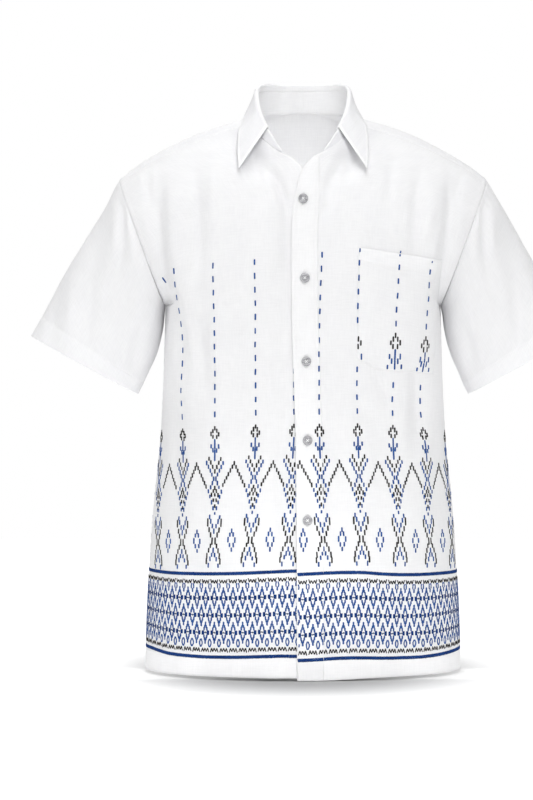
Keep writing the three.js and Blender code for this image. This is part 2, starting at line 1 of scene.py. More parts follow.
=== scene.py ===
"""Looks of a short-sleeved embroidered shirt, filled out as worn and empty inside.

Each piece of cloth is a thin shell on the smooth form that the solid panels follow, with the creases, seams, hems
and stitches that the solids leave out. The form and its tables are in millimetres, in the frame's own axes:
+Z up, the buttoned front towards -Y, the wearer's left towards +X. Meshes are made in metres.
"""

from __future__ import annotations

import json
import logging
import math
from dataclasses import dataclass, field
from enum import Enum, IntEnum
from functools import cache
from typing import Callable

import bpy
import numpy as np
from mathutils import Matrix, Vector

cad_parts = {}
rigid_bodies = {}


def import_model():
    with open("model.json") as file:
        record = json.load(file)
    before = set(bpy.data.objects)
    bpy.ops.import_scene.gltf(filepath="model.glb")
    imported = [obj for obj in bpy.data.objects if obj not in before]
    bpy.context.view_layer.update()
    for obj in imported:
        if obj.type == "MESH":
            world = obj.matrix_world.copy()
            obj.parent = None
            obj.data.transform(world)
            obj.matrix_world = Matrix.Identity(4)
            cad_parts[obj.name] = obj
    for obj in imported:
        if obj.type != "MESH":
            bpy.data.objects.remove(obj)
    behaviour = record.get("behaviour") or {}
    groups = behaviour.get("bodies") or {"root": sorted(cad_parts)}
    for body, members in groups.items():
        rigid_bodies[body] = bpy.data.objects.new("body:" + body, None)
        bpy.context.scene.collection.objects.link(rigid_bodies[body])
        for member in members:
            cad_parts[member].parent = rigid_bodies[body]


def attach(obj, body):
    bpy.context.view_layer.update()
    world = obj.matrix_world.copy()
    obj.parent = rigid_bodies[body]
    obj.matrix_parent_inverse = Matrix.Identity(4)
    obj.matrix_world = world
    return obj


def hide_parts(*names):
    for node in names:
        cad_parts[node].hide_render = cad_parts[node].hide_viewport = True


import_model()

LOG = logging.getLogger("shirt")
MM = 0.001
BODY = "root"

Array = np.ndarray
Object = bpy.types.Object
Socket = bpy.types.NodeSocket
Triple = tuple[float, float, float]
Pair = tuple[np.ndarray, np.ndarray]

# ---------- sizes, in millimetres ----------

HEM_Z = -741.0
ARMPIT_Z = -249.0
BODY_RISE = ARMPIT_Z - HEM_Z
CLOTH = 0.6
DOUBLE = 1.1
SEAM_GAP = 0.3
STAND_GAP = -0.3
UNDERLAP = 17.0
UNDERLAP_DROP = 2.6
UNDERLAP_FADE = 24.0
UNDERLAP_RISE = 0.2
BAND_WIDTH = 34.0
BAND_TOP = 0.6
BAND_STRAIGHT = 0.3
BAND_LIFT = 1.3
POCKET_LIFT = 1.2
BODY_HEM = 25.0
SLEEVE_LENGTH = 242.0
SLEEVE_HEM = 27.0
V_LEVEL = 0.5
NOTCH_LEVEL = 0.63
BACK_NECK = 0.66
SEAM_LEVEL = 0.9988
LEAF_END = 0.872
FOLD_RADIUS = 2.4
COLLAR_CLOTH = 1.6
FOLD_FADE = 22.0
FRONT_DROP = 3.2
FRONT_DROP_REACH = 85.0
FACING = 14.5
SHOULDER_RISE = 250.0
TURNED_LIFT = 0.35
TURNED_CLOTH = 0.7
STITCH_INSET = 1.8
BODY_MIDDLE = (0, 0, -400)


# ---------- small tools ----------

def smoothstep(value: Array, low: float, high: float) -> Array:
    """A smooth rise from 0 at low to 1 at high."""
    t = np.clip((np.asarray(value, float) - low) / (high - low), 0.0, 1.0)
    return t * t * (3.0 - 2.0 * t)


def fade(value: Array, low: float, high: float) -> Array:
    """A smooth fall from 1 at low to 0 at high."""
    return 1 - smoothstep(value, low, high)


def bell(value: Array, width: float) -> Array:
    """A smooth hump, 1 where the value is 0."""
    return np.exp(-((value / width) ** 2))


def unit(vectors: Array) -> Array:
    """The vectors, each made one long."""
    return vectors / np.maximum(np.linalg.norm(vectors, axis=-1, keepdims=True), 1e-9)


def xyz(x: Array | float, y: Array | float, z: Array | float) -> Array:
    """Points or directions from their three parts, of which some may be single numbers."""
    return np.stack(np.broadcast_arrays(x, y, z), -1)


def mirrored(points: Array, side: int) -> Array:
    """Points of the wearer's left half, on the side wanted."""
    return points * np.array([side, 1.0, 1.0])


def placed(name: str, data: bpy.types.ID) -> Object:
    """A new object of a mesh, a lamp or a camera, in the scene."""
    made = bpy.data.objects.new(name, data)
    bpy.context.scene.collection.objects.link(made)
    return made


class Table:
    """Rows of numbers under named columns, read at any key on a smooth curve through them."""

    def __init__(self, columns: str, rows: list[tuple[float, ...]]) -> None:
        """Keeps the rows; the first column is the key, and rises."""
        self.names = columns.split()
        self.rows = np.array(rows, float)

    def at(self, keys: Array) -> dict[str, Array]:
        """Reads every column.

        Args:
            keys: values of the first column.

        Returns:
            Each column's values at the keys.
        """
        key, rows = self.rows[:, 0], self.rows
        wanted = np.clip(np.asarray(keys, float), key[0], key[-1])
        row = np.clip(np.searchsorted(key, wanted, side="right") - 1, 0, len(key) - 2)
        before = np.maximum(np.arange(len(key)) - 1, 0)
        after = np.minimum(np.arange(len(key)) + 1, len(key) - 1)
        slope = (rows[after] - rows[before]) / (key[after] - key[before])[:, None]
        step = (key[row + 1] - key[row])[..., None]
        t = (wanted - key[row])[..., None] / step
        values = (
            (2 * t**3 - 3 * t**2 + 1) * rows[row]
            + (t**3 - 2 * t**2 + t) * step * slope[row]
            + (3 * t**2 - 2 * t**3) * rows[row + 1]
            + (t**3 - t**2) * step * slope[row + 1]
        )
        return {name: values[..., i] for i, name in enumerate(self.names)}


# ---------- the form ----------

class ShirtForm:
    """The smooth form of the body: sections from the hem (level -1) over the armpit (0) to the shoulder seam (1)."""

    LOW = Table("z half front back round", [
        (-741, 214, 131, 118, 0.56),
        (-650, 211, 129, 116, 0.56),
        (-541, 204.5, 126, 112, 0.57),
        (-432, 194, 122, 109, 0.62),
        (-351, 189.4, 119.5, 106.4, 0.75),
        (-303, 188, 118, 105.6, 0.81),
        (-249, 187, 116, 106, 0.86),
    ])
    FRONT = Table("rise x y z sweep fall lead arm dx dy dz tail", [
        (0, 0, -116, -249, 0, 0, 161, 0, 0, 1, 0, 99.8),
        (0.1, 0, -114, -206, 0, 0, 158, 25, 0.25, 0.96, -0.05, 76),
        (0.2, 0, -110.5, -165, 0, 0, 151, 47, 0.5, 0.86, -0.08, 56),
        (0.3, 0, -106, -128, 0, 0, 144, 67, 0.68, 0.72, -0.1, 46),
        (0.4, 0, -100, -98, 0, 0, 134, 85, 0.78, 0.6, -0.13, 42),
        (0.5, 0, -94.5, -73, 0, 0, 126, 100, 0.84, 0.48, -0.2, 46),
        (0.55, 8, -91.5, -62.5, 0.02, -0.04, 116, 107, 0.85, 0.42, -0.26, 48),
        (0.6, 18, -88, -54.5, 0.05, -0.08, 104, 114, 0.85, 0.37, -0.32, 50),
        (0.63, 28, -84.5, -49.5, 0.08, -0.11, 94, 118, 0.84, 0.34, -0.36, 52),
        (0.7, 43, -75, -39.5, 0.1, -0.16, 80, 127, 0.83, 0.26, -0.45, 56),
        (0.8, 57, -58, -26, 0.08, -0.2, 68, 139, 0.8, 0.18, -0.55, 58),
        (0.9, 66, -41, -15, 0.04, -0.22, 62, 149.5, 0.77, 0.1, -0.62, 58),
        (1, 72, -25, -6, 0, -0.25, 58, 158.4, 0.76, 0.02, -0.66, 58),
    ])
    BACK = Table("rise x y z sweep fall lead arm dx dy dz tail", [
        (0, 0, 106, -249, 0, 0, 161, 0, 0, -1, 0, 91),
        (0.1, 0, 106.9, -200, 0, 0, 158, 25, 0.25, -0.96, -0.05, 74),
        (0.2, 0, 106.6, -152, 0, 0, 150, 47, 0.5, -0.86, -0.08, 57),
        (0.3, 0, 104, -108, 0, 0, 140, 67, 0.68, -0.72, -0.1, 48),
        (0.4, 0, 99, -66, 0, 0, 128, 86, 0.78, -0.58, -0.16, 46),
        (0.5, 0, 93, -28, 0, 0, 118, 104, 0.82, -0.44, -0.28, 50),
        (0.6, 0, 84.5, 4, 0, 0, 106, 119, 0.8, -0.32, -0.42, 56),
        (0.66, 0, 78, 20.5, 0, -0.02, 96, 128, 0.78, -0.24, -0.5, 58),
        (0.7, 24, 75.5, 20.2, -0.12, -0.1, 78, 137, 0.76, -0.18, -0.57, 60),
        (0.75, 43, 67, 19, -0.22, -0.18, 64, 147, 0.73, -0.13, -0.63, 60),
        (0.8, 56, 54, 16.5, -0.2, -0.22, 57, 157, 0.7, -0.09, -0.68, 60),
        (0.85, 66, 35, 12, -0.14, -0.22, 56, 167, 0.69, -0.05, -0.71, 60),
        (0.9, 72, 15, 7, -0.06, -0.22, 56, 178, 0.69, -0.02, -0.72, 60),
        (0.95, 73.5, -5, 0.6, -0.02, -0.23, 57, 190, 0.72, 0, -0.7, 59),
        (1, 72, -25, -6, 0, -0.25, 58, 201.6, 0.76, 0.02, -0.66, 58),
    ])
    EDGE = Table("level at", [
        (-1, -7.2), (-0.6, -8), (-0.35, -9.6), (-0.2, -11.8), (-0.05, -14.2), (0.25, -14.4),
        (0.34, -11.5), (0.4, -8), (0.45, -5), (0.5, 0),
    ])
    ARMHOLE_TOP = np.array([249.5, 0.0, -80.0])
    ARMHOLE_FOOT = np.array([187.0, 0.0, -249.0])
    ARMHOLE_DEPTH = 70.0
    SAMPLES = 121

    def __init__(self) -> None:
        """Works out the armhole's plane."""
        self.centre = (self.ARMHOLE_TOP + self.ARMHOLE_FOOT) / 2
        self.rise = self.ARMHOLE_TOP - self.centre
        self.out = unit(np.array([self.rise[2], 0.0, -self.rise[0]]))

    def armhole(self, facing: int, degrees: Array) -> Array:
        """Points of the armhole, in degrees from its lowest, on the front (1) or the back (-1)."""
        angle = np.radians(degrees)
        points = self.centre - np.cos(angle)[:, None] * self.rise
        points[:, 1] -= facing * self.ARMHOLE_DEPTH * np.sin(angle)
        return points

    def controls(self, facing: int, level: Array) -> Array:
        """The four control points of the section at each level, on the wearer's left.

        Args:
            facing: 1 for the front, -1 for the back.
            level: the levels.

        Returns:
            Points, as levels by 4 by 3.
        """
        level = np.asarray(level, float)
        z = ARMPIT_Z + np.minimum(level, 0) * BODY_RISE
        low = self.LOW.at(z)
        y = -low["front"] if facing > 0 else low["back"]
        below = np.stack([
            xyz(0, y, z),
            xyz(low["round"] * low["half"], y, z),
            xyz(low["half"], low["round"] * y, z),
            xyz(low["half"], 0, z),
        ], 1)
        row = (self.FRONT if facing > 0 else self.BACK).at(level)
        under_neck = level < (V_LEVEL if facing > 0 else BACK_NECK)
        for name in ("x", "sweep", "fall"):
            row[name] = np.where(under_neck, 0.0, row[name])
        start, end = xyz(row["x"], row["y"], row["z"]), self.armhole(facing, row["arm"])
        leaving = unit(xyz(1, row["sweep"], row["fall"])) * row["lead"][:, None]
        arriving = unit(xyz(row["dx"], row["dy"], row["dz"])) * row["tail"][:, None]
        above = np.stack([start, start + leaving, end - arriving, end], 1)
        return np.where((level <= 0)[:, None, None], below, above)

    def sections(self, facing: int, level: Array) -> Pair:
        """Points along the section at each level, and how far along it each one is."""
        t = np.linspace(0, 1, self.SAMPLES)
        weights = np.stack([(1 - t) ** 3, 3 * t * (1 - t) ** 2, 3 * t**2 * (1 - t), t**3], -1)
        points = np.einsum("sk,nkd->nsd", weights, self.controls(facing, level))
        steps = np.linalg.norm(np.diff(points, axis=1), axis=-1)
        along = np.concatenate([np.zeros((len(points), 1)), np.cumsum(steps, 1)], 1)
        return points, along

    def span(self, facing: int, level: Array) -> Pair:
        """Where each section starts and ends, measured across from the middle."""
        points, along = self.sections(facing, level)
        return points[:, 0, 0], points[:, 0, 0] + along[:, -1]

    def points(self, facing: int, level: Array, across: Array) -> Array:
        """Points of the form on the wearer's left.

        Args:
            facing: 1 for the front, -1 for the back.
            level: one level for each row.
            across: places measured along the sections from the middle, as rows by columns; may be negative.

        Returns:
            Points, as rows by columns by 3.
        """
        curve, along = self.sections(facing, level)
        begin = curve[:, 0, 0]
        flip = (begin < 0.01)[:, None] & (across < 0)
        place = np.clip(np.where(flip, -across, across) - begin[:, None], 0, along[:, -1:])
        made = np.empty(across.shape + (3,))
        for row in range(len(across)):
            for axis in range(3):
                made[row, :, axis] = np.interp(place[row], along[row], curve[row, :, axis])
        made[..., 0] = np.where(flip, -made[..., 0], made[..., 0])
        return made

    def edge(self, level: Array) -> Array:
        """Where the front on top starts at each level: its own edge, or the neckline above the V."""
        begin, _ = self.span(1, level)
        return np.where(np.asarray(level) < V_LEVEL, self.EDGE.at(level)["at"], begin)

    def underlap(self, level: Array) -> Array:
        """Where the front underneath starts, measured towards its own side."""
        begin, _ = self.span(1, level)
        runs = -UNDERLAP * np.minimum(1.0, (V_LEVEL - level) / UNDERLAP_RISE)
        return np.where(level < V_LEVEL, np.minimum(self.EDGE.at(level)["at"], runs), begin)


FORM = ShirtForm()


# ---------- creases ----------

class Creases:
    """Soft troughs (depth below 0) and ridges, each from one point seen from the front to another."""

    def __init__(self, rows: list[tuple[float, ...]]) -> None:
        """Keeps the creases.

        Args:
            rows: for each the x and z of both ends, how far its middle swings to its left, its width and its depth.
        """
        self.rows = rows

    def at(self, x: Array, z: Array) -> Array:
        """How far the creases move the cloth out at x and z."""
        total = np.zeros_like(x)
        for x0, z0, x1, z1, bow, width, depth in self.rows:
            length = math.hypot(x1 - x0, z1 - z0)
            t = ((x - x0) * (x1 - x0) + (z - z0) * (z1 - z0)) / length**2
            away = ((x - x0) * (z1 - z0) - (z - z0) * (x1 - x0)) / length
            inside = (t > 0) & (t < 1)
            t = np.clip(t, 0, 1)
            away = away + bow * 4 * t * (1 - t)
            total += np.where(inside, depth * np.sin(np.pi * t) * bell(away, width), 0)
        return total


class Ripples:
    """Low uneven waves, the same at a place whatever cloth lies there."""

    def __init__(self, seed: int, count: int, shortest: float, longest: float, height: float) -> None:
        """Draws the waves, which run mostly up and down the cloth."""
        draw = np.random.default_rng(seed)
        heading = draw.normal(size=(count, 3)) * np.array([1.0, 0.8, 0.45])
        self.waves = unit(heading) * (2 * np.pi / draw.uniform(shortest, longest, count))[:, None]
        self.phase = draw.uniform(0, 2 * np.pi, count)
        self.height = height * math.sqrt(2 / count) * draw.uniform(0.5, 1.2, count)

    def at(self, points: Array) -> Array:
        """The waves' height at points."""
        return np.sin(points @ self.waves.T + self.phase) @ self.height


class Drape:
    """How far the cloth of the body and the sleeves stands off the smooth form."""

    FRONT = Creases([
        (-208, -56, -176, -290, 0, 10, -6), (-186, -66, -160, -262, 0, 12, 5), (-150, -80, -136, -400, 4, 17, -4),
        (204, -62, 178, -284, 0, 10, -6), (184, -74, 161, -256, 0, 12, 4.5), (100, -372, 116, -500, 0, 15, -3),
        (-190, -62, -184, -176, 0, 8, -4.5), (-167, -56, -162, -206, 0, 9, 3.0),
        (-146, -50, -140, -222, 3, 10, -6), (-122, -52, -118, -170, 2, 9, 2.4),
        (-174, -232, -156, -366, 0, 13, -8), (-141, -256, -126, -396, 0, 12, -6.5),
        (151, -70, 146, -204, 0, 8, -5), (173, -78, 166, -196, 0, 8, 2.6), (120, -46, 112, -128, 0, 7, -3),
        (84, -316, 124, -400, 0, 9, -6), (56, -336, 96, -420, 0, 10, -5), (151, -322, 156, -450, 0, 12, -6.5),
        (-25, -66, -20, -256, 0, 7, -3.2), (-196, -90, -181, -200, -3, 4.5, -1.6),
        (-216, -76, -205, -120, 2, 4, -1.4), (-222, -70, -214, -105, 2, 3.5, 1.1),
        (-201, -60, -199, -110, 0, 4, 1.2), (192, -80, 189, -190, 3, 5, -2.2), (179, -120, 160, -190, 2, 7, -2.6),
        (160, -60, 148, -125, 0, 6, -1.4), (214, -72, 204, -118, -2, 4, -1.6),
        (147, -300, 143, -480, 5, 12, -2.2), (84, -388, 92, -520, -3, 9, 1.6),
        (-118, -230, -112, -520, -6, 15, 1.6), (-80, -330, -84, -640, 4, 18, -1.5),
        (-168, -330, -176, -600, 5, 12, -2.2), (168, -360, 182, -610, 4, 12, -2.0),
        (-34, -150, -60, -330, 6, 13, -1.1), (58, -120, 74, -300, -5, 14, -1.0),
        (-40, -62, -14, -134, -2, 6, -4.6), (-52, -70, -24, -158, 2, 7, 2.4), (38, -66, 26, -140, 3, 7, -4.0),
        (-76, -26, -52, -96, -2, 13, -12), (-60, -40, -22, -118, 0, 8, -5), (60, -40, 24, -112, 0, 8, -5),
        (76, -26, 52, -96, 2, 13, -12), (60, -470, 66, -720, 4, 16, 1.4), (132, -560, 138, -741, 2, 12, -1.8),
        (-128, -560, -140, -741, -2, 13, -1.8), (-46, -600, -42, -741, 2, 12, 1.2),
    ])
    BACK = Creases([
        (-205, -60, -176, -286, 0, 11, -4.5), (207, -58, 178, -296, 0, 11, -5),
        (-108, -130, -124, -470, 0, 18, -4), (122, -110, 112, -420, 0, 18, -4), (52, -300, 60, -640, 0, 20, -3),
        (-188, -84, -168, -210, 3, 6, 1.8), (190, -90, 166, -220, -3, 6, 1.8), (-60, -200, -46, -520, 8, 16, 1.8),
        (10, -60, 18, -300, 4, 18, -1.4), (-150, -300, -164, -600, 4, 13, -2.0),
        (158, -340, 170, -620, -4, 13, -2.2), (-20, -480, -34, -741, 3, 15, -1.8),
        (96, -560, 104, -741, 3, 13, 1.8), (-110, -560, -118, -741, -3, 12, -1.8),
    ])
    SLEEVE = Creases([
        (240, -88, 262, -262, -7, 8, -6), (234, -100, 219, -216, 3, 8, 4), (252, -108, 252, -236, -3, 7, 4),
        (262, -118, 300, -300, 4, 14, -3), (208, -262, 232, -362, 4, 9, -4), (290, -150, 330, -330, -5, 15, 2.5),
        (224, -200, 246, -340, 3, 10, -3), (276, -190, 286, -356, 3, 9, -2.4), (330, -230, 340, -325, 2, 9, -2),
        (312, -190, 318, -340, -3, 7, 1.6),
    ])
    LARGE = Ripples(seed=7, count=14, shortest=70, longest=190, height=0.85)
    SMALL = Ripples(seed=21, count=18, shortest=20, longest=46, height=0.14)

    def on_body(self, facing: int, points: Array, level: Array, to_seam: Array, to_neck: Array) -> Array:
        """The height above the form on the body.

        Args:
            facing: 1 for the front, -1 for the back.
            points: points of the form, on the side they belong.
            level: the level of each point.
            to_seam: how far each point is from the side seam or the armhole.
            to_neck: how far each point is from the neckline.

        Returns:
            The height out of the form at each point.
        """
        creases = (self.FRONT if facing > 0 else self.BACK).at(points[..., 0], points[..., 2])
        waves = self.LARGE.at(points) + self.SMALL.at(points)
        calm = smoothstep(1 - level, 0, 0.14) * smoothstep(to_seam, 0, 40)
        return creases * smoothstep(to_seam, 0, FOLD_FADE) * smoothstep(to_neck, 0, 10) + waves * calm

    def on_sleeve(self, points: Array, along: Array, turn: Array) -> Array:
        """The height above the form on a sleeve."""
        creases = self.SLEEVE.at(np.abs(points[..., 0]), points[..., 2])
        faces = smoothstep(np.abs(np.sin(2 * np.pi * turn)), 0.05, 0.6)
        waves = (self.LARGE.at(points) + self.SMALL.at(points)) * smoothstep(along, 0, 0.16)
        return creases * faces * smoothstep(along, 0, 0.05) + waves


DRAPE = Drape()


# ---------- cloth as grids ----------

def grid_normals(points: Array, round_columns: bool = False) -> Array:
    """The direction square to a grid of points at each one.

    Args:
        points: rows by columns by 3.
        round_columns: whether the last column meets the first.

    Returns:
        Unit vectors, which point to one side throughout.
    """
    down = np.gradient(points, axis=0)
    if round_columns:
        ring = points[:, :-1]
        over = (np.roll(ring, -1, 1) - np.roll(ring, 1, 1)) / 2
        over = np.concatenate([over, over[:, :1]], 1)
    else:
        over = np.gradient(points, axis=1)
    return unit(np.cross(over, down))


def run_lengths(points: Array, axis: int) -> Array:
    """How far along the rows or the columns of a grid each point is."""
    steps = np.linalg.norm(np.diff(points, axis=axis), axis=-1)
    first = np.zeros_like(np.take(steps, [0], axis=axis))
    return np.concatenate([first, np.cumsum(steps, axis=axis)], axis=axis)


@dataclass
class Patch:
    """A grid of points on a piece of cloth, and what each point carries."""

    keys: Array
    points: Array
    thickness: Array
    # How many layers of cloth lie together, which brightens it; on the collar and near the fronts' neck edges it
    # also carries painted shade and a painted highlight.
    layers: Array
    flip: bool = False
    weave: Array = field(init=False)
    normals: Array = field(init=False)

    def __post_init__(self) -> None:
        """Measures the weave's own directions."""
        self.weave = np.stack([run_lengths(self.points, 1), run_lengths(self.points, 0)], -1)
        self.normals = grid_normals(self.points)

    def at(self, key: Array, share: Array) -> Pair:
        """Points of the cloth and the directions out of it.

        Args:
            key: the places down the rows.
            share: the places across, from 0 at the first column to 1 at the last.

        Returns:
            Points and unit vectors.
        """
        rows, columns = self.points.shape[:2]
        row = np.clip(np.searchsorted(self.keys, key, side="right") - 1, 0, rows - 2)
        down = np.clip((key - self.keys[row]) / (self.keys[row + 1] - self.keys[row]), 0, 1)[..., None]
        place = np.clip(share, 0, 1) * (columns - 1)
        column = np.minimum(place.astype(int), columns - 2)
        over = (place - column)[..., None]

        def mixed(grid: Array) -> Array:
            """The grid's values between its rows and columns."""
            upper = grid[row, column] * (1 - over) + grid[row, column + 1] * over
            lower = grid[row + 1, column] * (1 - over) + grid[row + 1, column + 1] * over
            return upper * (1 - down) + lower * down

        return mixed(self.points), unit(mixed(self.normals))


def cloth_mesh(name: str, patches: list[Patch], inside: Triple) -> Object:
    """One closed shell with rounded edges from patches that share their common points.

    Args:
        name: the piece's name.
        patches: the grids of its outer face.
        inside: a point on the inner side of most of it.

    Returns:
        The piece, in metres.
    """
    flat, weave, thickness, layers = (
        np.concatenate([getattr(patch, values).reshape(patch.layers.size, -1) for patch in patches])
        for values in ("points", "weave", "thickness", "layers")
    )
    starts = np.cumsum([0] + [patch.layers.size for patch in patches])
    corners = []
    for start, patch in zip(starts, patches):
        ids = start + np.arange(patch.layers.size).reshape(patch.layers.shape)
        ids = ids[:, ::-1] if patch.flip else ids
        corners.append(np.stack([ids[:-1, :-1], ids[:-1, 1:], ids[1:, 1:], ids[1:, :-1]], -1).reshape(-1, 4))
    corners = np.concatenate(corners)
    whole = np.round(flat * 1000).astype(np.int64)
    _, first, merged = np.unique(whole, axis=0, return_index=True, return_inverse=True)
    merged = merged.reshape(-1)
    quads = merged[corners]
    points, wall, layers = flat[first], thickness[first], layers[first]

    normals = np.zeros_like(points)
    square = np.cross(points[quads[:, 2]] - points[quads[:, 0]], points[quads[:, 3]] - points[quads[:, 1]])
    for corner in range(4):
        np.add.at(normals, quads[:, corner], square)
    normals = unit(normals)
    if np.sum(normals * (points - np.array(inside))) < 0:
        quads, corners, normals = quads[:, ::-1], corners[:, ::-1], -normals
    for start, patch in zip(starts, patches):
        patch.normals = normals[merged[start:start + patch.layers.size]].reshape(patch.points.shape)

    number = len(points)
    edges = np.concatenate([quads[:, [i, (i + 1) % 4]] for i in range(4)])
    loose = np.concatenate([corners[:, [i, (i + 1) % 4]] for i in range(4)])
    alone = ~np.isin(edges @ (number, 1), edges @ (1, number))
    edges, loose = edges[alone], loose[alone]
    a, b = edges.T
    outward = np.zeros_like(points)
    for end in (a, b):
        np.add.at(outward, end, np.cross(points[b] - points[a], normals[a]))
    rim_ids = np.unique(edges)
    rim_of = np.full(number, -1)
    rim_of[rim_ids] = np.arange(len(rim_ids))
    backs = points - normals * wall
    rims = (points + backs)[rim_ids] / 2 + unit(outward[rim_ids]) * wall[rim_ids] * 0.5
    middle_a, middle_b = 2 * number + rim_of[a], 2 * number + rim_of[b]
    faces = np.concatenate([
        quads,
        quads[:, ::-1] + number,
        np.stack([b, a, middle_a, middle_b], -1),
        np.stack([middle_b, middle_a, a + number, b + number], -1),
    ])
    carried = np.concatenate([corners, corners[:, ::-1], loose[:, [1, 0, 0, 1]], loose[:, [1, 0, 0, 1]]])
    mesh = bpy.data.meshes.new(name)
    mesh.from_pydata((np.concatenate([points, backs, rims]) * MM).tolist(), [], faces.tolist())
    mesh.uv_layers.new(name="cloth").data.foreach_set("uv", (weave[carried.reshape(-1)] * MM).ravel())
    # The layers value, with its painted shade and highlight, is carried to the finish.
    attribute = mesh.attributes.new("layers", "FLOAT", "POINT")
    attribute.data.foreach_set("value", np.concatenate([layers, layers, layers[rim_ids]]).ravel())
    mesh.polygons.foreach_set("use_smooth", np.ones(len(faces), bool))
    mesh.update()
    return placed(name, mesh)


# ---------- finishes ----------

class Tree:
    """A node tree, built a node at a time."""

    def __init__(self, tree: bpy.types.NodeTree) -> None:
        """Keeps the tree."""
        self.tree = tree

    def give(self, node: bpy.types.Node, given: dict[str | int, object]) -> bpy.types.Node:
        """Feeds a node's inputs, by name or number, each from a socket or with a constant."""
        for name, value in given.items():
            if isinstance(value, bpy.types.NodeSocket):
                self.tree.links.new(value, node.inputs[name])
            else:
                node.inputs[name].default_value = value
        return node

    def add(self, kind: str, given: dict[str | int, object] | None = None, **settings: object) -> bpy.types.Node:
        """A node of a kind, with its settings and what its inputs are given."""
        node = self.tree.nodes.new(kind)
        for name, value in settings.items():
            setattr(node, name, value)
        return self.give(node, given or {})

    def math(self, operation: str, *values: object) -> Socket:
        """The result of a sum on sockets or numbers."""
        return self.add("ShaderNodeMath", dict(enumerate(values)), operation=operation).outputs[0]

    def ramp(self, value: Socket, low: tuple, high: tuple, **settings: object) -> Socket:
        """A value brought from one range to another, as (given, made) at both ends."""
        given = {"Value": value, "From Min": low[0], "To Min": low[1], "From Max": high[0], "To Max": high[1]}
        return self.add("ShaderNodeMapRange", given, **settings).outputs["Result"]


class Nodes(Tree):
    """A material's node tree."""

    def __init__(self, name: str) -> None:
        """Starts a material with a Principled shader."""
        self.material = bpy.data.materials.new(name)
        self.material.use_nodes = True
        super().__init__(self.material.node_tree)
        self.shader = self.tree.nodes["Principled BSDF"]

    def coloured(self, share: Socket, first: Triple, second: Triple) -> None:
        """Colours the surface between two colours, by a share."""
        given = {"Factor": share, "A": (*first, 1), "B": (*second, 1)}
        mixed = self.add("ShaderNodeMix", given, data_type="RGBA").outputs["Result"]
        self.give(self.shader, {"Base Color": mixed})

    def noise(self, place: Socket, stretch: Triple, detail: float) -> Socket:
        """Noise at a place, stretched so many times in each direction."""
        mapped = self.add("ShaderNodeMapping", {"Vector": place, "Scale": stretch}).outputs["Vector"]
        return self.add("ShaderNodeTexNoise", {"Vector": mapped, "Scale": 1.0, "Detail": detail}).outputs["Fac"]

    def bands(self, place: Socket, direction: str, pitch: float) -> Socket:
        """Even bands of a pitch in metres along X or Y."""
        given = {"Vector": place, "Scale": math.pi / (10 * pitch), "Distortion": 0.0}
        return self.add("ShaderNodeTexWave", given, wave_type="BANDS", bands_direction=direction).outputs["Fac"]

    def bump(self, height: Socket, strength: float, distance: float) -> None:
        """Raises the surface by a height."""
        given = {"Height": height, "Strength": strength, "Distance": distance}
        self.give(self.shader, {"Normal": self.add("ShaderNodeBump", given).outputs["Normal"]})


@dataclass(frozen=True)
class LinenFinish:
    """White slub linen-cotton: a plain weave with thicker threads here and there."""

    name: str
    thin: Triple
    thick: Triple
    thread_pitch: float = 0.00062
    slub: float = 0.5

    def material(self) -> bpy.types.Material:
        """Builds the finish, on the cloth's own weave map."""
        nodes = Nodes(self.name)
        place = nodes.add("ShaderNodeUVMap", uv_map="cloth").outputs["UV"]
        weft = nodes.noise(place, (55, 560, 1), 3)
        warp = nodes.noise(place, (560, 48, 1), 3)
        patchy = nodes.noise(place, (34, 26, 1), 2)
        # The layers attribute brightens cloth that lies double and, on the collar and near the fronts' neck edges,
        # carries painted shade and a painted highlight.
        layers = nodes.add("ShaderNodeAttribute", attribute_name="layers").outputs["Fac"]
        slubs = nodes.math("ADD", weft, warp)
        uneven = nodes.math("MULTIPLY", nodes.math("SUBTRACT", slubs, 1.0), self.slub)
        soft = nodes.math("MULTIPLY", nodes.math("SUBTRACT", patchy, 0.5), 0.35)
        base = nodes.math("ADD", nodes.math("MULTIPLY", layers, 0.4), 0.4)
        share = nodes.math("ADD", base, nodes.math("ADD", uneven, soft))
        nodes.coloured(share, self.thin, self.thick)
        threads = nodes.math("MULTIPLY", *(nodes.bands(place, axis, self.thread_pitch) for axis in "XY"))
        height = nodes.math("ADD", nodes.math("MULTIPLY", threads, 0.35), slubs)
        nodes.bump(height, 0.5, 0.00016)
        nodes.give(nodes.shader, {
            "Roughness": 0.88, "Specular IOR Level": 0.25, "Sheen Weight": 0.08, "Subsurface Weight": 0.4,
            "Subsurface Radius": (1.0, 1.0, 1.05), "Subsurface Scale": 0.0015,
        })
        return nodes.material


@dataclass(frozen=True)
class ThreadFinish:
    """Stranded embroidery or sewing thread with a slight lustre."""

    name: str
    colour: Triple
    light: Triple
    roughness: float = 0.6

    def material(self) -> bpy.types.Material:
        """Builds the finish."""
        nodes = Nodes(self.name)
        place = nodes.add("ShaderNodeTexCoord").outputs["Object"]
        strands = nodes.noise(place, (900, 900, 260), 2)
        dye = nodes.noise(place, (70, 70, 70), 1)
        share = nodes.math("SUBTRACT", nodes.math("MULTIPLY", nodes.math("ADD", strands, dye), 1.4), 0.9)
        nodes.coloured(share, self.colour, self.light)
        nodes.bump(strands, 0.6, 0.0002)
        nodes.give(nodes.shader, {"Roughness": self.roughness, "Specular IOR Level": 0.12})
        return nodes.material


